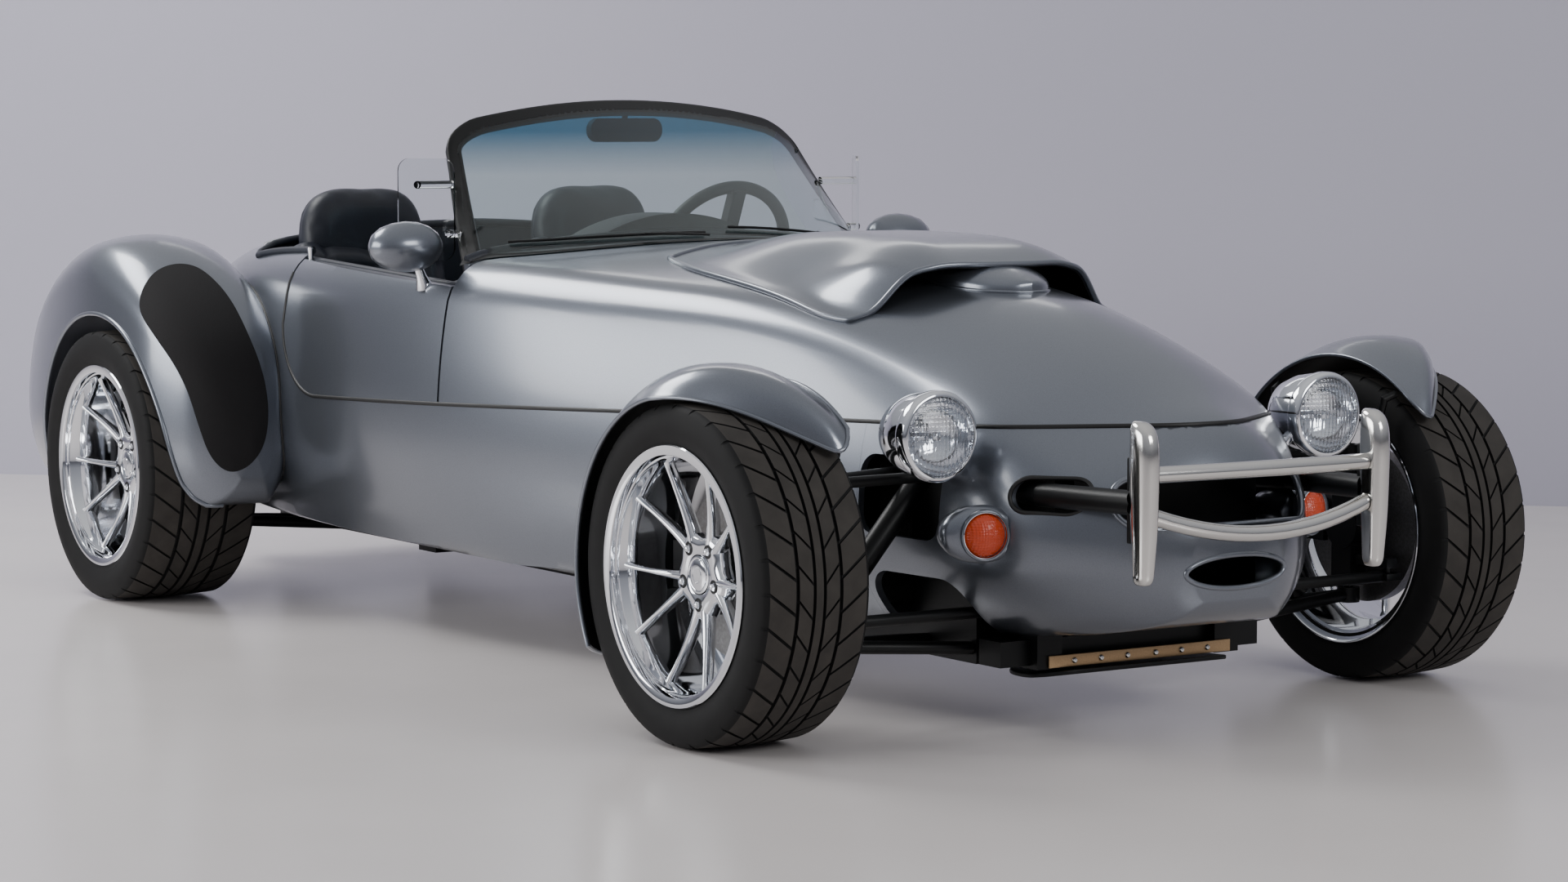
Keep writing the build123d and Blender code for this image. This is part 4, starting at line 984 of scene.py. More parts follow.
# lamps on the nose, spun about their own axes and then set on the car
lampSet = {
    "head": (1612.5, -480.0, 583.0), "size": 0.9, "pod": (1666.0, -405.0, 396.0), "podTurn": 16.0,
    "stalk": [(1536, -452, 530), (1534, -420, 508), (1530, -350, 500)], "stalkR": 15.0,
    "flangeScale": (1.32, 1, 0.88),
}
skinTree = BVHTree.FromBMesh(bmFrom(outerMesh))
alongX = Matrix.Rotation(-pi / 2, 4, "Z")  # the spin axis y is laid along x


def lampPart(profile, place, yaw=0.0, steps=72, size=1.0):
    bm = turned([(max(size * r, 0.02) * mm, size * y * mm) for r, y in profile], steps)
    return meshFrom(moveTo(bm, Vector(place) * mm, Matrix.Rotation(radians(yaw), 4, "Z") @ alongX))


bucketProfile = [
    (0, -150), (26, -147), (52, -134), (74, -108), (87, -72), (92, -36), (93, -16), (96, -15), (97.5, -9), (97.5, 6),
    (95, 13), (90, 17), (85.5, 17), (84, 13), (84, 6), (82, -4), (70, -30), (48, -50), (22, -58), (0, -59),
]
bulbProfile = [(0, 4), (9, 2), (14, -5), (15, -14), (11, -28), (9, -58)]
lensProfile = [(0, 27), (30, 25.5), (58, 20.5), (76, 14.5), (84, 10), (84, 6), (76, 10), (58, 16), (30, 21), (0, 22.5)]
head, bulb, lens = [
    lampPart(profile, lampSet["head"], size=lampSet["size"]) for profile in (bucketProfile, bulbProfile, lensProfile)
]
stalk = tubeMesh(inMetres(lampSet["stalk"]), lampSet["stalkR"] * mm)
finishPiece(bothSides(meshFrom(joined([head, bulb, stalk]))), "headlamp_buckets", "chassis_body", chromePlate,
    40, ["headlamp_shells"])
finishPiece(bothSides(lens), "headlamp_glasses", "chassis_body", lampGlass, 50, ["headlamp_lenses"])

flangeProfile = [
    (0, -3), (34, -3), (46, -4.5), (56, -9), (62, -18), (63, -30), (58, -62), (45, -105), (23, -138), (0, -150)
]
seatProfile = [(43, -14), (48.5, -10), (49.5, -2), (48, 2.5), (45.5, 3), (43.5, -2), (43, -12)]
yaw = -lampSet["podTurn"]
flange = turned([(max(r, 0.02) * mm, y * mm) for r, y in flangeProfile], 72)
bmesh.ops.scale(flange, vec=lampSet["flangeScale"], verts=flange.verts)
flange = moveTo(flange, Vector(lampSet["pod"]) * mm, Matrix.Rotation(radians(yaw), 4, "Z") @ alongX)
flange.from_mesh(lampPart(seatProfile, lampSet["pod"], yaw))
finishPiece(bothSides(meshFrom(flange)), "indicator_fairings", "chassis_body", metallicPaint, 45,
    ["indicator_pods"])
domeProfile = [(0, 19), (15, 17.5), (28, 12.5), (37, 5), (41.5, -4), (42, -12), (0, -13)]
dome = lampPart(domeProfile, lampSet["pod"], yaw)
finishPiece(bothSides(dome), "indicator_domes", "chassis_body", amberLens, 45, ["indicator_lenses"])
gasket = lampPart([(43.8, -3), (44.6, 2), (43.0, 3.2), (41.4, 0), (42.2, -6)], lampSet["pod"], yaw)
finishPiece(bothSides(gasket), "indicator_gaskets", "chassis_body", chromePlate, 60)
print("lamps made")

# overriders: long rounded blades, front pair and rear pair
horn = {
    "rows": [  # z, front x, back x, half width
        (326, 1986, 1984, 1), (326.5, 1998, 1970, 10), (332, 2003, 1966, 14), (350, 2007, 1964, 17),
        (420, 2013, 1961, 20.5), (500, 2016, 1958, 22.5), (550, 2017, 1957, 23), (585, 2015, 1957, 22.5),
        (606, 2009, 1957, 20.5), (619, 1999, 1957, 17), (626, 1987, 1958, 11), (628, 1974, 1960, 2),
    ],
    "y": 280.0, "around": 40, "along": 90,
}
hornSteps = [hypot(a[0] - b[0], a[3] - b[3]) + 0.5 for a, b in zip(horn["rows"], horn["rows"][1:])]
hornKnots = np.cumsum([0] + hornSteps)
hornRow = splineThrough(hornKnots, horn["rows"])


def hornPoint(along, across):
    z, front, back, half = hornRow(along * hornKnots[-1])
    angle = 2 * pi * across
    x = (front + back) / 2 + (front - back) / 2 * signedPower(cos(angle), 0.8)
    return Vector((x, -horn["y"] + max(half, 0.5) * signedPower(sin(angle), 0.75), z)) * mm


blade = gridSheet(horn["along"], horn["around"], hornPoint)
bmesh.ops.holes_fill(blade, edges=[e for e in blade.edges if e.is_boundary], sides=0)
bmesh.ops.recalc_face_normals(blade, faces=blade.faces)
front = meshFrom(bothSides(meshFrom(blade)))
rear = bmFrom(front)
bmesh.ops.scale(rear, vec=(-1, 1, 1), verts=rear.verts)
bmesh.ops.reverse_faces(rear, faces=rear.faces)
rear.from_mesh(front)
finishPiece(rear, "overriders", "chassis_body", polishedStainless, 45, ["bumper_horns"])
backPlates = []
for x0, x1 in ((1944, 1962), (-1962, -1944)):
    for side in (-1, 1):
        low, high = sorted((side * 272, side * 288))
        backPlates.append(meshFrom(boxBetween((x0 * mm, low * mm, 0.400), (x1 * mm, high * mm, 0.560), 3 * mm)))
finishPiece(joined(backPlates), "overrider_brackets", "chassis_body", powderCoat, 40)


def onNose(y, z, lift=0.0):
    # point on the nose skin straight behind a point in front view
    spot, normal, _, _ = skinTree.ray_cast(Vector((2.4, y * mm, z * mm)), Vector((-1, 0, 0)))
    return spot + normal * lift * mm


def onFlank(x, z, side, lift=0.0):
    spot, normal, _, _ = skinTree.ray_cast(Vector((x * mm, side * 1.2, z * mm)), Vector((0, -side, 0)))
    return spot + normal * lift * mm


lip = {"grille": 6.5, "lower": 5.5, "slot": 4.5, "sunk": -1.5, "past": 2}  # radii, mm
lowerTurns = [2 * pi * i / 96 for i in range(96)]
lowerLip = [((halfY + lip["past"]) * cos(a), middleZ + (halfZ + lip["past"]) * sin(a)) for a in lowerTurns]
lips = [
    tubeMesh([onNose(y, z, lip["sunk"]) for y, z in outline], radius * mm, True, 3)
    for outline, radius in ((roundedOutline(*mouth["grille"], 24), lip["grille"]), (lowerLip, lip["lower"]))
]
finishPiece(joined(lips), "mouth_lips", "chassis_body", metallicPaint, 60)
slotLines = [
    [onFlank(x, z, side, -1) for x, z in roundedOutline(*mouth["tubeSlot"], 16)] for side in (-1, 1)
]
grommets = [tubeMesh(line, lip["slot"] * mm, True, 3) for line in slotLines]
finishPiece(joined(grommets), "slot_grommets", "chassis_body", sealRubber, 60)
print("bumper and mouth made")

# tyres: directional tread cut in a sheared grid, so that every groove wall is a clean edge
tyre = {
    "front": (1404.5, 822.0, 326.5, 122.5), "rear": (-1249.5, 830.0, 332.0, 147.5),  # hub x, y, radius, half width
    "pitches": 32, "ring": 6.5, "cut": 5.0,
    "columns": [(0, ""), (0.2, ""), (0.39, ""), (0.4, "a"), (0.49, "a"), (0.5, ""), (0.7, ""), (0.89, ""), (0.9, "b"),
        (0.98, "b"), (0.99, "")],
    "rows": [1.0, 0.98, 0.82, 0.64, 0.487, 0.478, 0.422, 0.413, 0.3, 0.2, 0.137, 0.128, 0.082, 0.073],
    "rings": [(0.42, 0.48), (0.08, 0.13)], "edge": 17,
    "sideWall": [  # distance in from the widest point, distance in from the tread
        (15.5, 98), (10.5, 81), (6.5, 74), (5.8, 71), (3, 62), (0.6, 52), (0, 42), (0.6, 33), (2.6, 25), (3.4, 22),
        (6, 15), (10, 8.5),
    ],
}


def tyreBm(radius, half):
    tread = half - tyre["edge"]
    rows = [(half - inset, radius - drop, None) for inset, drop in tyre["sideWall"]]
    rows += [(v * tread, radius - 4 * v * v, v) for v in tyre["rows"] + [0.0]]
    rows += [(-y, r, None if v is None else -v) for y, r, v in rows[-2::-1]]
    columns = [((k + at) / tyre["pitches"], kind) for k in range(tyre["pitches"]) for at, kind in tyre["columns"]]
    columns.append((1.0, ""))
    knee = 0.45 * tread
    bm = bmesh.new()
    bmesh.ops.create_grid(bm, x_segments=len(columns) - 1, y_segments=len(rows) - 1, size=0.5)
    top = {}
    for vert in bm.verts:
        at, kind = columns[round((vert.co.x + 0.5) * (len(columns) - 1))]
        y, r, v = rows[round((vert.co.y + 0.5) * (len(rows) - 1))]
        reach = min(abs(y), tread)
        sweep = 1.15 * min(reach, knee) + 0.75 * max(reach - knee, 0)
        angle = 2 * pi * at + sweep / radius
        depth = 0.0
        if v is not None:
            v = abs(v)
            if any(a < v < b for a, b in tyre["rings"]):
                depth = tyre["ring"]
            elif (kind == "a" and v > 0.48) or (kind == "b" and 0.18 < v < 0.48):
                depth = tyre["cut"] * (0.55 if v > 0.97 else 1.0)
        elif kind == "a" and y != 0 and r > radius - 9:
            depth = 2.0
        top[vert] = v is not None and depth == 0
        r -= depth
        vert.co = Vector((r * cos(angle), y, r * sin(angle))) * mm
    bm.normal_update()
    for face in bm.faces:
        face.material_index = 1 if all(top[vert] for vert in face.verts) else 0
    bmesh.ops.remove_doubles(bm, verts=bm.verts, dist=2e-6)
    bmesh.ops.recalc_face_normals(bm, faces=bm.faces)
    probe = next(f for f in bm.faces if f.material_index == 1)
    centre = probe.calc_center_median()
    if probe.normal.dot(Vector((centre.x, 0, centre.z))) < 0:
        bmesh.ops.reverse_faces(bm, faces=bm.faces)
    return bm


for end in ("front", "rear"):
    hubX, hubY, radius, half = tyre[end]
    for word, side in sides:
        rubber = moveTo(tyreBm(radius, half), Vector((hubX, side * hubY, radius)) * mm)
        name = f"{end}_{word}"
        piece = finishPiece(rubber, "tread_" + name, f"wheel_{name}_body", tyreRubber, 30, ["tyre_" + name])
        piece.data.materials.append(wornTread.material)
print("tyres made")

# wheels: turned rim with a wide lip, five pairs of slim spokes from a lobed hub
wheel = {
    "front": {"face": 880.0, "lip": 942.0, "back": 702.0, "dish": 912.0},
    "rear": {"face": 892.0, "lip": 969.0, "back": 691.0, "dish": 936.0},
    "circle": 57.15, "firstNut": 270.0, "rootAngle": 9.0, "tipAngle": 17.5, "root": 66.0, "tip": 221.0,
}
rimProfile = [  # radius, distance in from the lip
    (245.5, 9), (247.8, 6), (248, 2.5), (246, 0), (231, 0.6), (228.5, 2), (227, 6), (226, 14), (223.5, 16), (222.5, 24),
    (218, 30), (215.5, 60), (210, 100), (203, 128), (199, 150),
]
innerLip = [(203, 60), (216, 42), (222, 20), (240, 8), (246, 4), (247.8, 1), (246, 0)]  # distance in from the back
backSkin = [(246, 8), (228, 14), (222, 60), (206, 90)]
frontSkin = [(206, -150), (221, -80), (229, -20), (245.5, -9)]
capProfile = [
    (0, 4.0), (13, 3.8), (14, 2.6), (15.5, 2.6), (16.5, 3.8), (25, 3.2), (29, 2), (30, 0), (31.2, 0), (33, 1.2),
    (36, 0.6), (37, -3), (37, -10),
]
# flat black ring round each nut, flush with the hub face: painted shade of the nut's pocket
pocketShadeProfile = [(8, -1), (8, 0.4), (12.5, 0.4), (13.4, 0.1), (13.4, -1)]
nutProfile = [(0, 8), (4, 7.6), (6.5, 5.4), (8, 1), (8.2, -6)]
hubProfile = [
    (34, -9), (37.5, -8), (38.5, -1), (40, 0), (62, 0.5), (71, -1.5), (77, -6), (80, -13), (80, -30), (60, -38)
]


def outward(profile, place, steps):
    # part that faces outwards on the right-hand side
    return meshFrom(moveTo(turned([(max(r, 0.02) * mm, -y * mm) for r, y in profile], steps), Vector(place) * mm))


def spokeMesh(spec, radius, hubX, pairAngle, side):
    def spokePoint(along, across):
        r = wheel["root"] - 14 + (wheel["tip"] - wheel["root"] + 14) * along
        share = max(0, (r - wheel["root"]) / (wheel["tip"] - wheel["root"]))
        spread = wheel["rootAngle"] + (wheel["tipAngle"] - wheel["rootAngle"]) * share**0.55
        angle = radians(pairAngle + side * spread)
        crown = spec["face"] + 1 + (spec["dish"] - spec["face"]) * share**1.5
        half = 11.5 - 6.2 * min(share * 1.6, 1) ** 0.8 + 3.5 * max(0, (share - 0.9) / 0.1) ** 2
        deep = 30 - 8 * share
        turn = 2 * pi * across
        wide = half * signedPower(cos(turn), 0.85)
        out = crown - deep / 2 + deep / 2 * signedPower(sin(turn), 0.8)
        x, z = r * cos(angle) - wide * sin(angle), r * sin(angle) + wide * cos(angle)
        return Vector((hubX + x, -out, radius + z)) * mm

    return meshFrom(gridSheet(22, 16, spokePoint))


for end in ("front", "rear"):
    hubX, hubY, radius, half = tyre[end]
    spec = wheel[end]
    width = spec["lip"] - spec["back"]
    behind = [(r, -width + inset) for r, inset in innerLip + backSkin]
    rimLine = [(r, -inset) for r, inset in rimProfile] + behind + frontSkin
    rim = outward(rimLine, (hubX, -spec["lip"], radius), 96)
    hub = bmFrom(outward(hubProfile, (hubX, -spec["face"], radius), 120))
    for v in hub.verts:
        dx, dz = v.co.x - hubX * mm, v.co.z - radius * mm
        reach = hypot(dx, dz) / mm
        lobe = 1 + 0.1 * max(0, min((reach - 44) / 20, 1)) * cos(5 * (atan2(dz, dx) - radians(wheel["firstNut"])))
        v.co.x, v.co.z = hubX * mm + dx * lobe, radius * mm + dz * lobe
    bright = [rim, meshFrom(hub), outward(capProfile, (hubX, -spec["face"], radius), 48)]
    nutShade = []
    for k in range(5):
        pairAngle = wheel["firstNut"] + 72 * k
        bright += [spokeMesh(spec, radius, hubX, pairAngle, side) for side in (-1, 1)]
        angle = radians(pairAngle)
        spot = (hubX + wheel["circle"] * cos(angle), -spec["face"] - 0.6, radius + wheel["circle"] * sin(angle))
        bright.append(outward(nutProfile, spot, 6))
        # the black ring round each nut is painted shade of its pocket
        nutShade.append(outward(pocketShadeProfile, spot, 24))
    for word, side in sides:
        name = f"{end}_{word}"
        for title, meshes, finish, slotName, old in (
            ("rim_", bright, chromePlate, "alloy", ["wheel_" + name]),
            ("nut_pockets_", nutShade, powderCoat, "black_frame", []),
        ):
            bm = onSide(meshFrom(joined(meshes)), side)
            finishPiece(bm, title + name, f"wheel_{name}_body", finish, 40, old)
print("wheels made")

# seals, piping and guards that lie on the skin
trim = {
    "noseTip": 1829.0, "seal": 4.8, "piping": 4.5, "archLip": 6.0, "step": 0.012, "onSkin": 4e-4, "onArch": 8e-4,
    "guardFilm": 1.8, "guardWall": 2.6, "guardTurn": 33.09, "guardMiddle": (-1155, 600),
}
noseTip = trim["noseTip"]


def seamPoint(x, side):
    z = seamHeight(x)
    return Vector((x, side * max(bodySide(x, z) - 1.2, 0), z)) * mm


seamXs = [noseTip - (noseTip - panels["doorFront"]) * (i / 110) ** 2.2 for i in range(111)]
strips = [[seamPoint(x, 1) for x in seamXs[::-1]] + [seamPoint(x, -1) for x in seamXs[1:]]]
outline = doorOutline(0, *panels["doorTop"])
knee, sweep = outline[0], outline[4:]
doorXs = [panels["doorFront"] + (knee[0] - panels["doorFront"]) * i / 40 for i in range(41)]
path = [(x, seamHeight(x)) for x in doorXs] + sweep[::-1]
rise = [(panels["doorRear"] - 2, 700 + 14 * i) for i in range(9)]
for side in (-1, 1):
    strips.append([onFlank(x, z, side, -1.2) for x, z in path + rise])
seals = [tubeMesh(line, trim["seal"] * mm, False, 3) for line in strips]
finishPiece(joined(seals), "seam_seals", "chassis_body", sealRubber, 60)


def vertPlace(vert):
    return tuple(round(c, 6) for c in vert.co)


def edgePlace(edge):
    return sorted(vertPlace(vert) for vert in edge.verts)


def edgeChains(mesh, wanted):
    # polylines along the edges of a mesh that pass a test; sorted by place, so that each run starts them alike
    bm = bmFrom(mesh)
    bm.normal_update()
    picked = sorted((edge for edge in bm.edges if wanted(edge)), key=edgePlace)
    unused = set(picked)
    chains = []
    for edge in picked:
        if edge not in unused:
            continue
        unused.discard(edge)
        line = sorted(edge.verts, key=vertPlace)
        for end in (0, -1):
            while True:
                steps = [e for e in line[end].link_edges if e in unused]
                if not steps:
                    break
                step = min(steps, key=edgePlace)
                unused.discard(step)
                line.insert(0 if end == 0 else len(line), step.other_vert(line[end]))
        if len(line) > 12:
            chains.append([v.co.copy() for v in line])
    bm.free()
    return chains


def thinned(line, gap):
    kept = [line[0]]
    for spot in line[1:]:
        if (spot - kept[-1]).length > gap:
            kept.append(spot)
    return kept


def offBody(v):
    return skinTree.find_nearest(v.co)[3]


def touchesBody(face):
    return all(offBody(v) < trim["onSkin"] for v in face.verts)


def jointEdge(edge):
    if len(edge.link_faces) != 2 or any(offBody(v) > trim["onSkin"] for v in edge.verts):
        return False
    return sum(touchesBody(face) for face in edge.link_faces) == 1


archSpots = [Vector((a * mm, 0, b * mm)) for a, b in arch]


def archEdge(edge):
    if len(edge.link_faces) != 2 or edge.calc_face_angle(0) < radians(25):
        return False
    for v in edge.verts:
        flat = Vector((v.co.x, 0, v.co.z))
        feet = [intersect_point_line(flat, a, b)[0] for a, b in zip(archSpots, archSpots[1:])]
        if v.co.y > -0.8 or min((flat - foot).length for foot in feet) > trim["onArch"]:
            return False
    return True


for title, wanted, radius, slotName, finish in (
    ("wing_piping", jointEdge, trim["piping"], "black_plastic", sealRubber),
    ("arch_lips", archEdge, trim["archLip"], "paint", metallicPaint),
):
    lines = [thinned(line, trim["step"]) for line in edgeChains(wingMesh, wanted)]
    tubes = [tubeMesh(line, radius * mm, False, 3) for line in lines if len(line) > 8]
    finishPiece(bothSides(meshFrom(joined(tubes))), title, "chassis_body", finish, 60)

# stone guards: bean-shaped film on the front of each wing, outline in a plane turned to face it
guardOutline = [
    (-1273, 829), (-1224, 813), (-1157, 756), (-1106, 680), (-1061, 584), (-1044, 487), (-1053, 400), (-1089, 349),
    (-1136, 335), (-1177, 375), (-1203, 453), (-1227, 531), (-1262, 598), (-1316, 664), (-1356, 711), (-1363, 749),
    (-1347, 796), (-1318, 822),
]
for _ in range(3):  # corner cutting
    ring = []
    for a, b in zip(guardOutline, guardOutline[1:] + guardOutline[:1]):
        ring += [tuple((1 - k) * p + k * q for p, q in zip(a, b)) for k in (0.25, 0.75)]
    guardOutline = ring
turn = radians(trim["guardTurn"])
facing, sideways = Vector((cos(turn), -sin(turn), 0)), Vector((sin(turn), cos(turn), 0))
wingTree = BVHTree.FromBMesh(bmFrom(wingMesh))


def filmPoint(along, around):
    spot = guardOutline[round(around * len(guardOutline)) % len(guardOutline)]
    a, b = [c + (s - c) * max(along, 0.001) for c, s in zip(trim["guardMiddle"], spot)]
    start = sideways * a * mm + Vector((0, 0, b * mm))
    hit, normal, _, _ = wingTree.ray_cast(start + facing * 2.5, -facing)
    return hit + normal * trim["guardFilm"] * mm


film = walled(faceUp(gridSheet(22, len(guardOutline), filmPoint), facing), trim["guardWall"] * mm)
finishPiece(bothSides(meshFrom(film)), "stone_guards", "chassis_body", stoneGuard, 50)

# under the nose: anodised cross plate, and a rounded skid plate with its bolts
cross = boxBetween((1.626, -0.225, 0.124), (1.631, 0.225, 0.148), 1.5 * mm)
finishPiece(cross, "cross_plate", "chassis_body", tanAnodised, 40)
tray = prism(scaled(roundedOutline((1560, 0), (184, 480), 80, 12)), "z", 0.100, 0.109)
bmesh.ops.subdivide_edges(tray, edges=[e for e in tray.edges if abs(e.verts[0].co.z - e.verts[1].co.z) < 1e-6], cuts=1)
for v in tray.verts:
    v.co.z += 0.012 * max(0, (v.co.x - 1.56) / 0.092) ** 1.6
bevelled(tray, steepEdges(tray), 3 * mm, 2)
finishPiece(tray, "skid_tray", "chassis_body", powderCoat, 40, ["skid_plate"])
boltProfile = [(0, 4), (4, 3.4), (6, 1), (6, -10)]
bolts = [lampPart(boltProfile, (1632, y, 136), 0, 12) for y in (-165, -100, -35, 35, 100, 165)]
finishPiece(joined(bolts), "skid_bolts", "chassis_body", polishedStainless, 40)
print("trim made")

# door mirrors: egg shells on bright feet
mirror = {
    "egg": (-176, -672, 893), "foot": [(-182, -640, 852), (-186, -628, 826), (-190, -618, 800)], "cut": -20,
    "wide": 1.1, "long": 1.06, "footR": 12.0,
}
eggProfile = [
    (0, -84), (14, -81.5), (28, -73), (41, -54), (49, -28), (52, 0), (50, 26), (43, 50), (31, 69), (16, 80.5), (0, 84)
]
for word, side in sides:
    egg = turned([(max(mirror["wide"] * r, 0.02) * mm, mirror["long"] * y * mm) for r, y in eggProfile], 48)
    geom = egg.verts[:] + egg.edges[:] + egg.faces[:]
    cutAt = (mirror["cut"] * mm, 0, 0)
    cut = bmesh.ops.bisect_plane(egg, geom=geom, plane_co=cutAt, plane_no=(-1, 0, 0), clear_outer=True)
    rim = [e for e in cut["geom_cut"] if isinstance(e, bmesh.types.BMEdge)]
    back = bmesh.ops.edgeloop_fill(egg, edges=rim)["faces"]
    bmesh.ops.inset_region(egg, faces=back, thickness=5 * mm, depth=-3 * mm)
    for face in back:
        face.material_index = 1
    bmesh.ops.recalc_face_normals(egg, faces=egg.faces)
    eggMesh = meshFrom(moveTo(egg, Vector(mirror["egg"]) * mm))
    foot = tubeMesh(inMetres(mirror["foot"]), mirror["footR"] * mm, False, 4, [0.8, 1.0, 1.7])
    eggMesh = meshFrom(onSide(eggMesh, side))
    shell = finishMesh(eggMesh, "mirror_shell_" + word, "chassis_body", metallicPaint, 40, ["mirror_" + word])
    shell.data.materials.append(chromePlate.material)
    finishPiece(onSide(foot, side), "mirror_foot_" + word, "chassis_body", chromePlate, 50)
print("mirrors made")

# wipers that rest at the foot of the glass
wiper = {"blade": 3.2, "arm": 2.8}


def onGlass(y, rise, lift):
    return screenPoint(y, glassFoot(y) + rise) + screenOut * lift * mm


pieces = []
for first, last in ((-470, -60), (10, 420)):
    ys = [first + (last - first) * i / 24 for i in range(25)]
    blade = [onGlass(y, 16 + 10 * abs(y - last) / 410, 8) for y in ys]
    arm = [onGlass(last - 150 * i / 10, 8 + 10 * i / 10, 16) for i in range(11)]
    pieces += [tubeMesh(blade, wiper["blade"] * mm, False, 2), tubeMesh(arm, wiper["arm"] * mm, False, 2)]
finishPiece(joined(pieces), "wipers", "chassis_body", powderCoat, 50)

# cockpit edge: black rolls on the scuttle, doors and rear deck, a bright strip with studs behind
edge = {
    "roll": 10.0, "scuttleRoll": 13.0, "strip": 4.5, "knob": 8.0, "scuttleX": -104.5, "stripX": -1212.5,
    "studX": -1236.5, "rearY": 567, "doorY": 577, "stud": [(0.02, 5), (4, 4.5), (6.5, 2), (7, -3)],
}


def aboveSkin(x, y, lift):
    return Vector((x, y, bodyTop(x, y) + lift)) * mm


acrossYs = range(-555, 556, 37)
scuttle = [aboveSkin(edge["scuttleX"], y, 2) for y in acrossYs]
rearRoll = [aboveSkin(x, -edge["rearY"], 1) for x in range(-866, -1170, -30)]
rearRoll += [aboveSkin(panels["bulkhead"], y, 1) for y in acrossYs]
rearRoll += [aboveSkin(x, edge["rearY"], 1) for x in range(-1166, -865, 30)]
rolls = [tubeMesh(scuttle, edge["scuttleRoll"] * mm), tubeMesh(rearRoll, edge["roll"] * mm)]
finishPiece(joined(rolls), "cockpit_rolls", "chassis_body", navyHide, 60)
for word, side in sides:
    low, high = panels["doorTop"]
    body = f"door_{word}_body"
    line = inMetres((-84 - 766 * i / 20, side * edge["doorY"], low + (high - low) * i / 20 - 3) for i in range(21))
    finishPiece(bmFrom(tubeMesh(line, edge["roll"] * mm)), "door_roll_" + word, body, navyHide, 60)
    knobLine = inMetres((-828, side * 590, z) for z in (838, 862, 872))
    knob = tubeMesh(knobLine, edge["knob"] * mm, False, 5, [0.7, 1.0, 1.3])
    finishPiece(bmFrom(knob), "door_knob_" + word, body, chromePlate, 50)
deckLine = []
for y in range(-520, 521, 26):
    deckLine.append(aboveSkin(edge["stripX"], y, 3) - Vector((22 * (y / 520) ** 2, 0, 0)) * mm)
deckMeshes = [tubeMesh(deckLine, edge["strip"] * mm, False, 3)]
for y in range(-480, 481, 80):
    stud = turned(scaled(edge["stud"]), 16)
    deckMeshes.append(meshFrom(moveTo(stud, aboveSkin(edge["studX"], y, 1), Matrix.Rotation(pi / 2, 4, "X"))))
finishPiece(joined(deckMeshes), "deck_strip", "chassis_body", chromePlate, 50)

# lining of the cockpit and doors
tub.data.materials.append(navyHide.material)
lowX, highX = cockpitLow[0] - 0.0015, cockpitHigh[0] + 0.0015
for polygon in tub.data.polygons:
    x, y, z = polygon.center
    if lowX < x < highX and abs(y) < panels["doorIn"] * mm + 0.0015 and 0.23 < z < 0.93:
        polygon.material_index = 1
for word, _ in sides:
    door = bpy.data.objects["door_skin_" + word]
    door.data.materials.append(navyHide.material)
    for polygon in door.data.polygons:
        if abs(polygon.center.y) < panels["doorIn"] * mm + 0.006:
            polygon.material_index = 1

# dials on the dash
dash = nodes["dashboard"].data
dashTree = BVHTree.FromPolygons([v.co.copy() for v in dash.vertices], [list(p.vertices) for p in dash.polygons])
dialSet = [(235, 868, 46), (365, 868, 46), (-70, 838, 26), (0, 838, 26), (70, 838, 26)]
rings, faces = [], []
for y, z, size in dialSet:
    spot, normal, _, _ = dashTree.ray_cast(Vector((-0.7, y * mm, z * mm)), Vector((1, 0, 0)))
    if spot is None:
        continue
    turnTo = Vector((0, 1, 0)).rotation_difference(normal).to_matrix().to_4x4()
    ring = turned([(r * size * mm, h * mm) for r, h in ((1.0, -2), (1.06, 3), (1.0, 7), (0.9, 6), (0.88, 2))], 48)
    rings.append(meshFrom(moveTo(ring, spot, turnTo)))
    face = turned([(0.02 * mm, 2.5 * mm), (0.9 * size * mm, 2.5 * mm)], 48)
    faces.append(meshFrom(moveTo(face, spot, turnTo)))
    for k in range(11):  # marks round the dial
        angle = radians(-130 + 26 * k)
        mark = boxBetween((-0.7 * mm, 2.5 * mm, 0.68 * size * mm), (0.7 * mm, 3.2 * mm, 0.84 * size * mm))
        mark = moveTo(mark, (0, 0, 0), Matrix.Rotation(angle, 4, "Y"))
        rings.append(meshFrom(moveTo(mark, spot, turnTo)))
    hand = boxBetween((-1.2 * mm, 3.5 * mm, -0.15 * size * mm), (1.2 * mm, 4.4 * mm, 0.72 * size * mm))
    rings.append(meshFrom(moveTo(moveTo(hand, (0, 0, 0), Matrix.Rotation(radians(-130), 4, "Y")), spot, turnTo)))
finishPiece(joined(rings), "dial_rings", "chassis_body", chromePlate, 40)
finishPiece(joined(faces), "dial_faces", "chassis_body", powderCoat, 40)
print("cabin edges and dials made:", len(faces))

# seats: padded hide over foam, blown up by a short cloth run and then drawn in along the seams
seat = {
    "voxel": 0.010, "pressure": 4.0, "frames": 16, "y": -330.0,
    "cushion": ((-905, -536, 262), (-448, -124, 412), 44, 16.0),  # low corner, high corner, edge radius, cap, mm
    "back": ((-60, -215, -20), (50, 215, 500), 42, 16.0), "backAt": (-962, 400), "lean": 12.5,
    "rest": ((-1120, 0, 0), (-1036, 330, 205), 26, 10.0), "restZ": 904.0, "stay": 6.0,
}


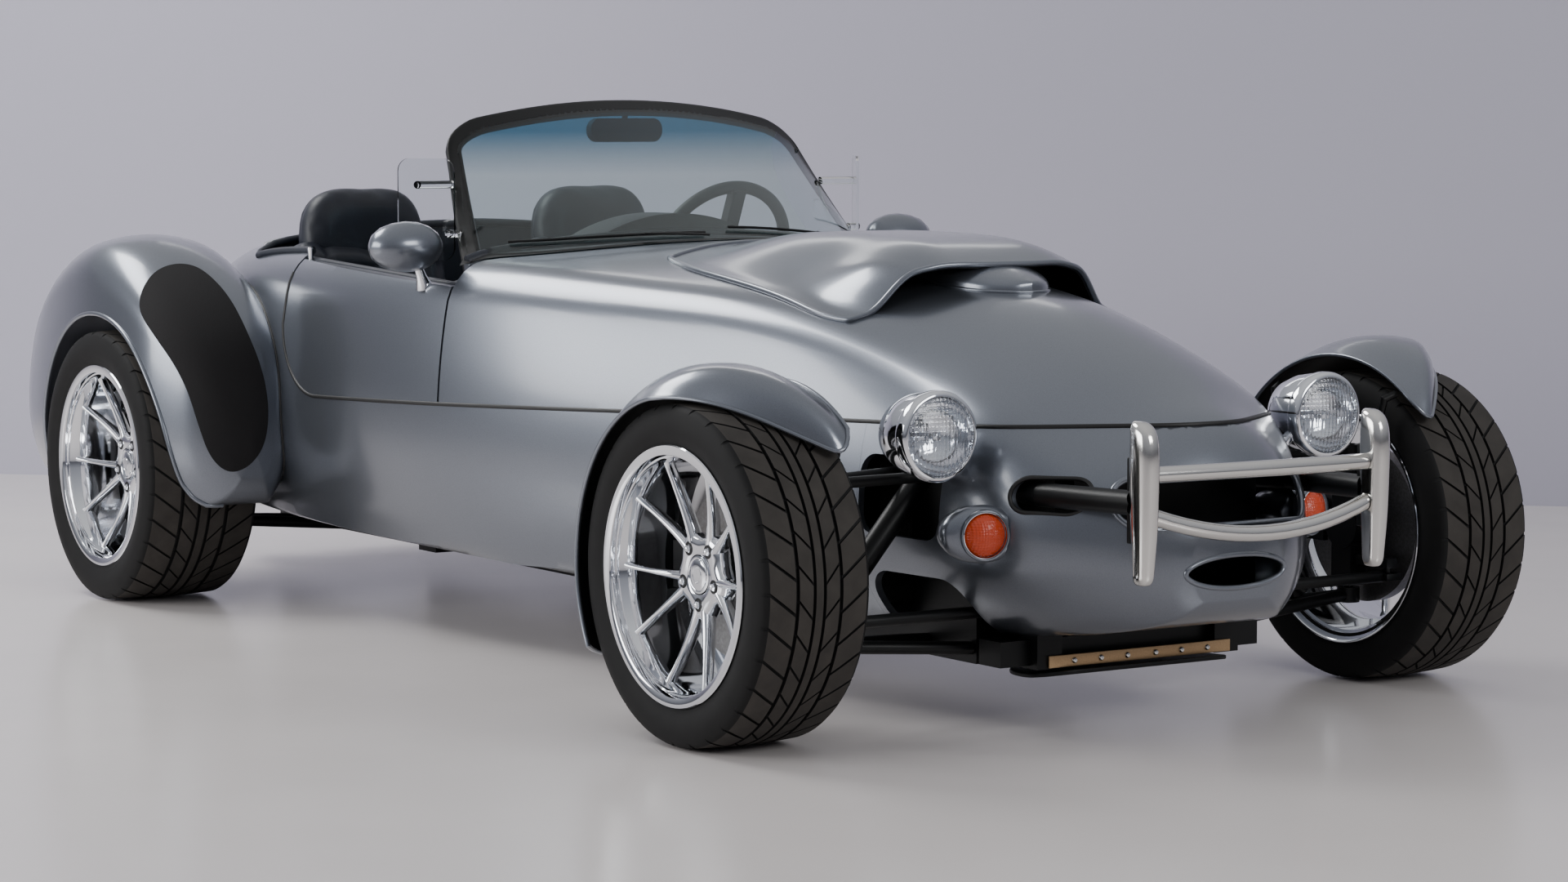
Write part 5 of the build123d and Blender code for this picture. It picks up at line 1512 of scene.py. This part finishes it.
def blownUp(bm, cap):
    # remesh evenly, let the cover swell a little, never by more than the cap
    start = bpy.data.objects.new("pad", meshFrom(bm))
    bpy.context.scene.collection.objects.link(start)
    even = start.modifiers.new("even", "REMESH")
    even.mode, even.voxel_size = "VOXEL", seat["voxel"]
    bpy.context.view_layer.update()
    mesh = bpy.data.meshes.new_from_object(start.evaluated_get(bpy.context.evaluated_depsgraph_get()))
    start.modifiers.clear()
    start.data = mesh
    cover = start.modifiers.new("cover", "CLOTH")
    cover.settings.use_pressure = True
    cover.settings.uniform_pressure_force = seat["pressure"]
    cover.settings.effector_weights.gravity = 0
    cover.point_cache.frame_start, cover.point_cache.frame_end = 1, seat["frames"]
    for i in range(1, seat["frames"] + 1):
        bpy.context.scene.frame_set(i)
    swollen = bpy.data.meshes.new_from_object(start.evaluated_get(bpy.context.evaluated_depsgraph_get()))
    bpy.context.scene.frame_set(1)
    for v, w in zip(mesh.vertices, swollen.vertices):
        move = w.co - v.co
        if move.length > cap * mm:
            move *= cap * mm / move.length
        v.co = v.co + move
    start.modifiers.clear()
    bpy.data.objects.remove(start)
    return bmFrom(mesh)


def drawIn(bm, distanceAt, depth, width, keep=lambda v: True):
    # pulls the cover in along a seam
    bm.normal_update()
    moves = [(v, v.normal * -depth * mm * np.exp(-(distanceAt(v.co) / width) ** 2)) for v in bm.verts if keep(v)]
    for v, move in moves:
        v.co += move


def softPad(bm, cap):
    bm = blownUp(bm, cap)
    for _ in range(3):
        bmesh.ops.smooth_vert(bm, verts=bm.verts, factor=0.4, use_axis_x=True, use_axis_y=True, use_axis_z=True)
    bmesh.ops.recalc_face_normals(bm, faces=bm.faces)
    return bm


middle = seat["y"]
low, high, edgeRadius, cap = seat["cushion"]
cushion = softPad(boxBetween(Vector(low) * mm, Vector(high) * mm, edgeRadius * mm, 5), cap)
for v in cushion.verts:  # sides stand up as bolsters, the front edge rolls down
    across = abs(v.co.y / mm - middle)
    if v.co.z > 0.34:
        v.co.z += (18 * max(0, (across - 120) / 80) ** 1.5 - 16 * max(0, 1 - across / 130)) * mm
        v.co.z += -14 * max(0, (-v.co.x / mm - 640) / 260) * mm
for seam in (-128, 128):
    drawIn(cushion, lambda c, s=seam: abs(c.y / mm - middle - s), 9, 9, lambda v: v.co.z > 0.33)
for x in (-560, -640, -720, -800):
    drawIn(cushion, lambda c, s=x: abs(c.x / mm - s), 6, 8, lambda v: v.co.z > 0.34 and abs(v.co.y / mm - middle) < 124)

low, high, edgeRadius, cap = seat["back"]
back = softPad(boxBetween(Vector(low) * mm, Vector(high) * mm, edgeRadius * mm, 5), cap)
for v in back.verts:
    across = abs(v.co.y / mm)
    if v.co.x > 0.01:
        v.co.x += (22 * max(0, (across - 115) / 90) ** 1.5 - 10 * max(0, 1 - across / 120)) * mm
for seam in (-126, 126):
    drawIn(back, lambda c, s=seam: abs(c.y / mm - s), 9, 9, lambda v: v.co.x > 0.005)
for z in (90, 170, 250, 330, 410):
    drawIn(back, lambda c, s=z: abs(c.z / mm - s), 6, 8, lambda v: v.co.x > 0.01 and abs(v.co.y / mm) < 122)
lean = Matrix.Rotation(radians(-seat["lean"]), 4, "Y")
moveTo(back, Vector((seat["backAt"][0], middle, seat["backAt"][1])) * mm, lean)

low, high, edgeRadius, cap = seat["rest"]
rest = prism(scaled(roundedOutline((middle, seat["restZ"]), high[1:], 84, 8)), "x", low[0] * mm, high[0] * mm)
for v in rest.verts:  # wider at its foot than at its crown
    rise = (v.co.z / mm - seat["restZ"]) / high[2]
    v.co.y = middle * mm + (v.co.y - middle * mm) * (1.0 - 0.14 * rise)
    v.co.x -= 10 * rise * mm
bevelled(rest, steepEdges(rest), edgeRadius * mm, 4)
rest = softPad(rest, cap)
drawIn(rest, lambda c: abs(c.x / mm + 1096), 5, 6)

pads = (("seat_cushion", cushion, ["seats"]), ("seat_back", back, []), ("head_restraint", rest, []))
for title, bm, old in pads:
    mesh = meshFrom(bm)
    for word, side in sides:
        gone = old if word == "right" else []
        piece = finishPiece(onSide(mesh, side), f"{title}_{word}", "chassis_body", navyHide, 180, gone)
        finer = piece.modifiers.new("smooth", "SUBSURF")
        finer.levels = finer.render_levels = 1
stays = []
for y in (-395, 395, -265, 265):
    stays.append(tubeMesh(inMetres([(-1076, y, 760), (-1078, y, 850)]), seat["stay"] * mm, False, 3))
finishPiece(joined(stays), "restraint_stays", "chassis_body", chromePlate, 50)
print("seats made")

# floor, backdrop, light and camera
studio = {"floor": "#ded8d6", "wall": "#b5b3c1", "wallAt": 5.2, "reach": 16.0}
# sealed concrete: pale, with trowel marks in its gloss
floorFinish = Finish(
    "sealed_pale_concrete", {"Base Color": studio["floor"], "Roughness": 0.22, "Specular IOR Level": 0.5}
)
floorFinish.rough(floorFinish.noise(1 / 1.4, 5.0), 0.16, 0.3)

# matt cloth backdrop: one-sided, so that it hides nothing when the part is seen from behind it
wallFinish = Finish("matt_grey_backdrop", {"Base Color": studio["wall"], "Roughness": 0.9})
tree = wallFinish.tree
behind = addNode(tree, "ShaderNodeNewGeometry").outputs["Backfacing"]
unseen = addNode(tree, "ShaderNodeBsdfTransparent").outputs["BSDF"]
oneSided = addNode(tree, "ShaderNodeMixShader", links={0: behind, 1: wallFinish.shader.outputs["BSDF"], 2: unseen})
surface = next(n for n in tree.nodes if n.type == "OUTPUT_MATERIAL").inputs["Surface"]
tree.links.new(oneSided.outputs["Shader"], surface)
for name, finish, spots in (
    ("floor", floorFinish, [(-1, -1, 0), (1, -1, 0), (1, 1, 0), (-1, 1, 0)]),
    ("backdrop", wallFinish, [(-1, 0, 0), (0, 1, 0), (0, 1, 0.18), (-1, 0, 0.18)]),
):
    bm = bmesh.new()
    bm.faces.new([bm.verts.new(Vector(spot) * studio["reach"]) for spot in spots])
    if name == "backdrop":
        bmesh.ops.translate(bm, vec=(studio["wallAt"], -studio["wallAt"] * 1.2, 0), verts=bm.verts)
    mesh = meshFrom(bm, name)
    mesh.materials.append(finish.material)
    piece = bpy.data.objects.new(name, mesh)
    bpy.context.scene.collection.objects.link(piece)

lamps = [
    # name, place, aim, size, watts
    ("overhead", (-3.3, -2.3, 4.6), (0.4, 0, 0.6), (3.0, 1.8), 190),
    ("sideFill", (-1.2, -6.8, 2.2), (0.0, 0, 0.5), (6.0, 2.2), 300),
    ("frontFill", (7.5, 1.5, 3.4), (1.0, 0, 0.6), (3.0, 2.0), 170),
    ("backRim", (-5.5, 3.5, 4.2), (-0.5, 0, 0.6), (4.0, 1.5), 50),
]
for name, place, aim, size, watts in lamps:
    lamp = bpy.data.lights.new(name, "AREA")
    lamp.shape = "RECTANGLE"
    lamp.size, lamp.size_y, lamp.energy = size[0], size[1], watts
    holder = bpy.data.objects.new(name, lamp)
    holder.location = place
    holder.rotation_mode = "QUATERNION"
    holder.rotation_quaternion = (Vector(aim) - Vector(place)).to_track_quat("-Z", "Y")
    bpy.context.scene.collection.objects.link(holder)

world = bpy.data.worlds.new("studioAir")
world.use_nodes = True
airTree = world.node_tree
look = addNode(airTree, "ShaderNodeTexCoord")
tall = addNode(airTree, "ShaderNodeSeparateXYZ", links={"Vector": look.outputs["Generated"]})
# a dim hall below, a pale ceiling above
sky = addNode(airTree, "ShaderNodeValToRGB", links={"Fac": tall.outputs["Z"]})
for spot, code in ((0.0, "#66676e"), (0.12, "#a6a8b0"), (0.45, "#c4c6cd"), (0.8, "#e6e7ea")):
    element = sky.color_ramp.elements[0] if spot == 0.0 else sky.color_ramp.elements.new(spot)
    element.position, element.color = spot, hexColour(code)
sky.color_ramp.elements[-1].color = hexColour("#f2f2f4")
airTree.links.new(sky.outputs["Color"], airTree.nodes["Background"].inputs["Color"])
airTree.nodes["Background"].inputs["Strength"].default_value = 0.75
bpy.context.scene.world = world

view = {"place": (7.3625, -4.5705, 1.1793), "lens": 86.27, "heading": 33.09, "pitch": 4.9}
camera = bpy.data.cameras.new("camera")
camera.lens, camera.sensor_width = view["lens"], 36.0
camera.clip_start, camera.clip_end = 0.1, 100
cameraHolder = bpy.data.objects.new("camera", camera)
cameraHolder.location = view["place"]
heading, pitch = radians(view["heading"]), radians(view["pitch"])
ahead = Vector((-cos(heading) * cos(pitch), sin(heading) * cos(pitch), -sin(pitch)))
cameraHolder.rotation_mode = "QUATERNION"
cameraHolder.rotation_quaternion = ahead.to_track_quat("-Z", "Y")
bpy.context.scene.collection.objects.link(cameraHolder)
bpy.context.scene.camera = cameraHolder
print("studio and camera set")
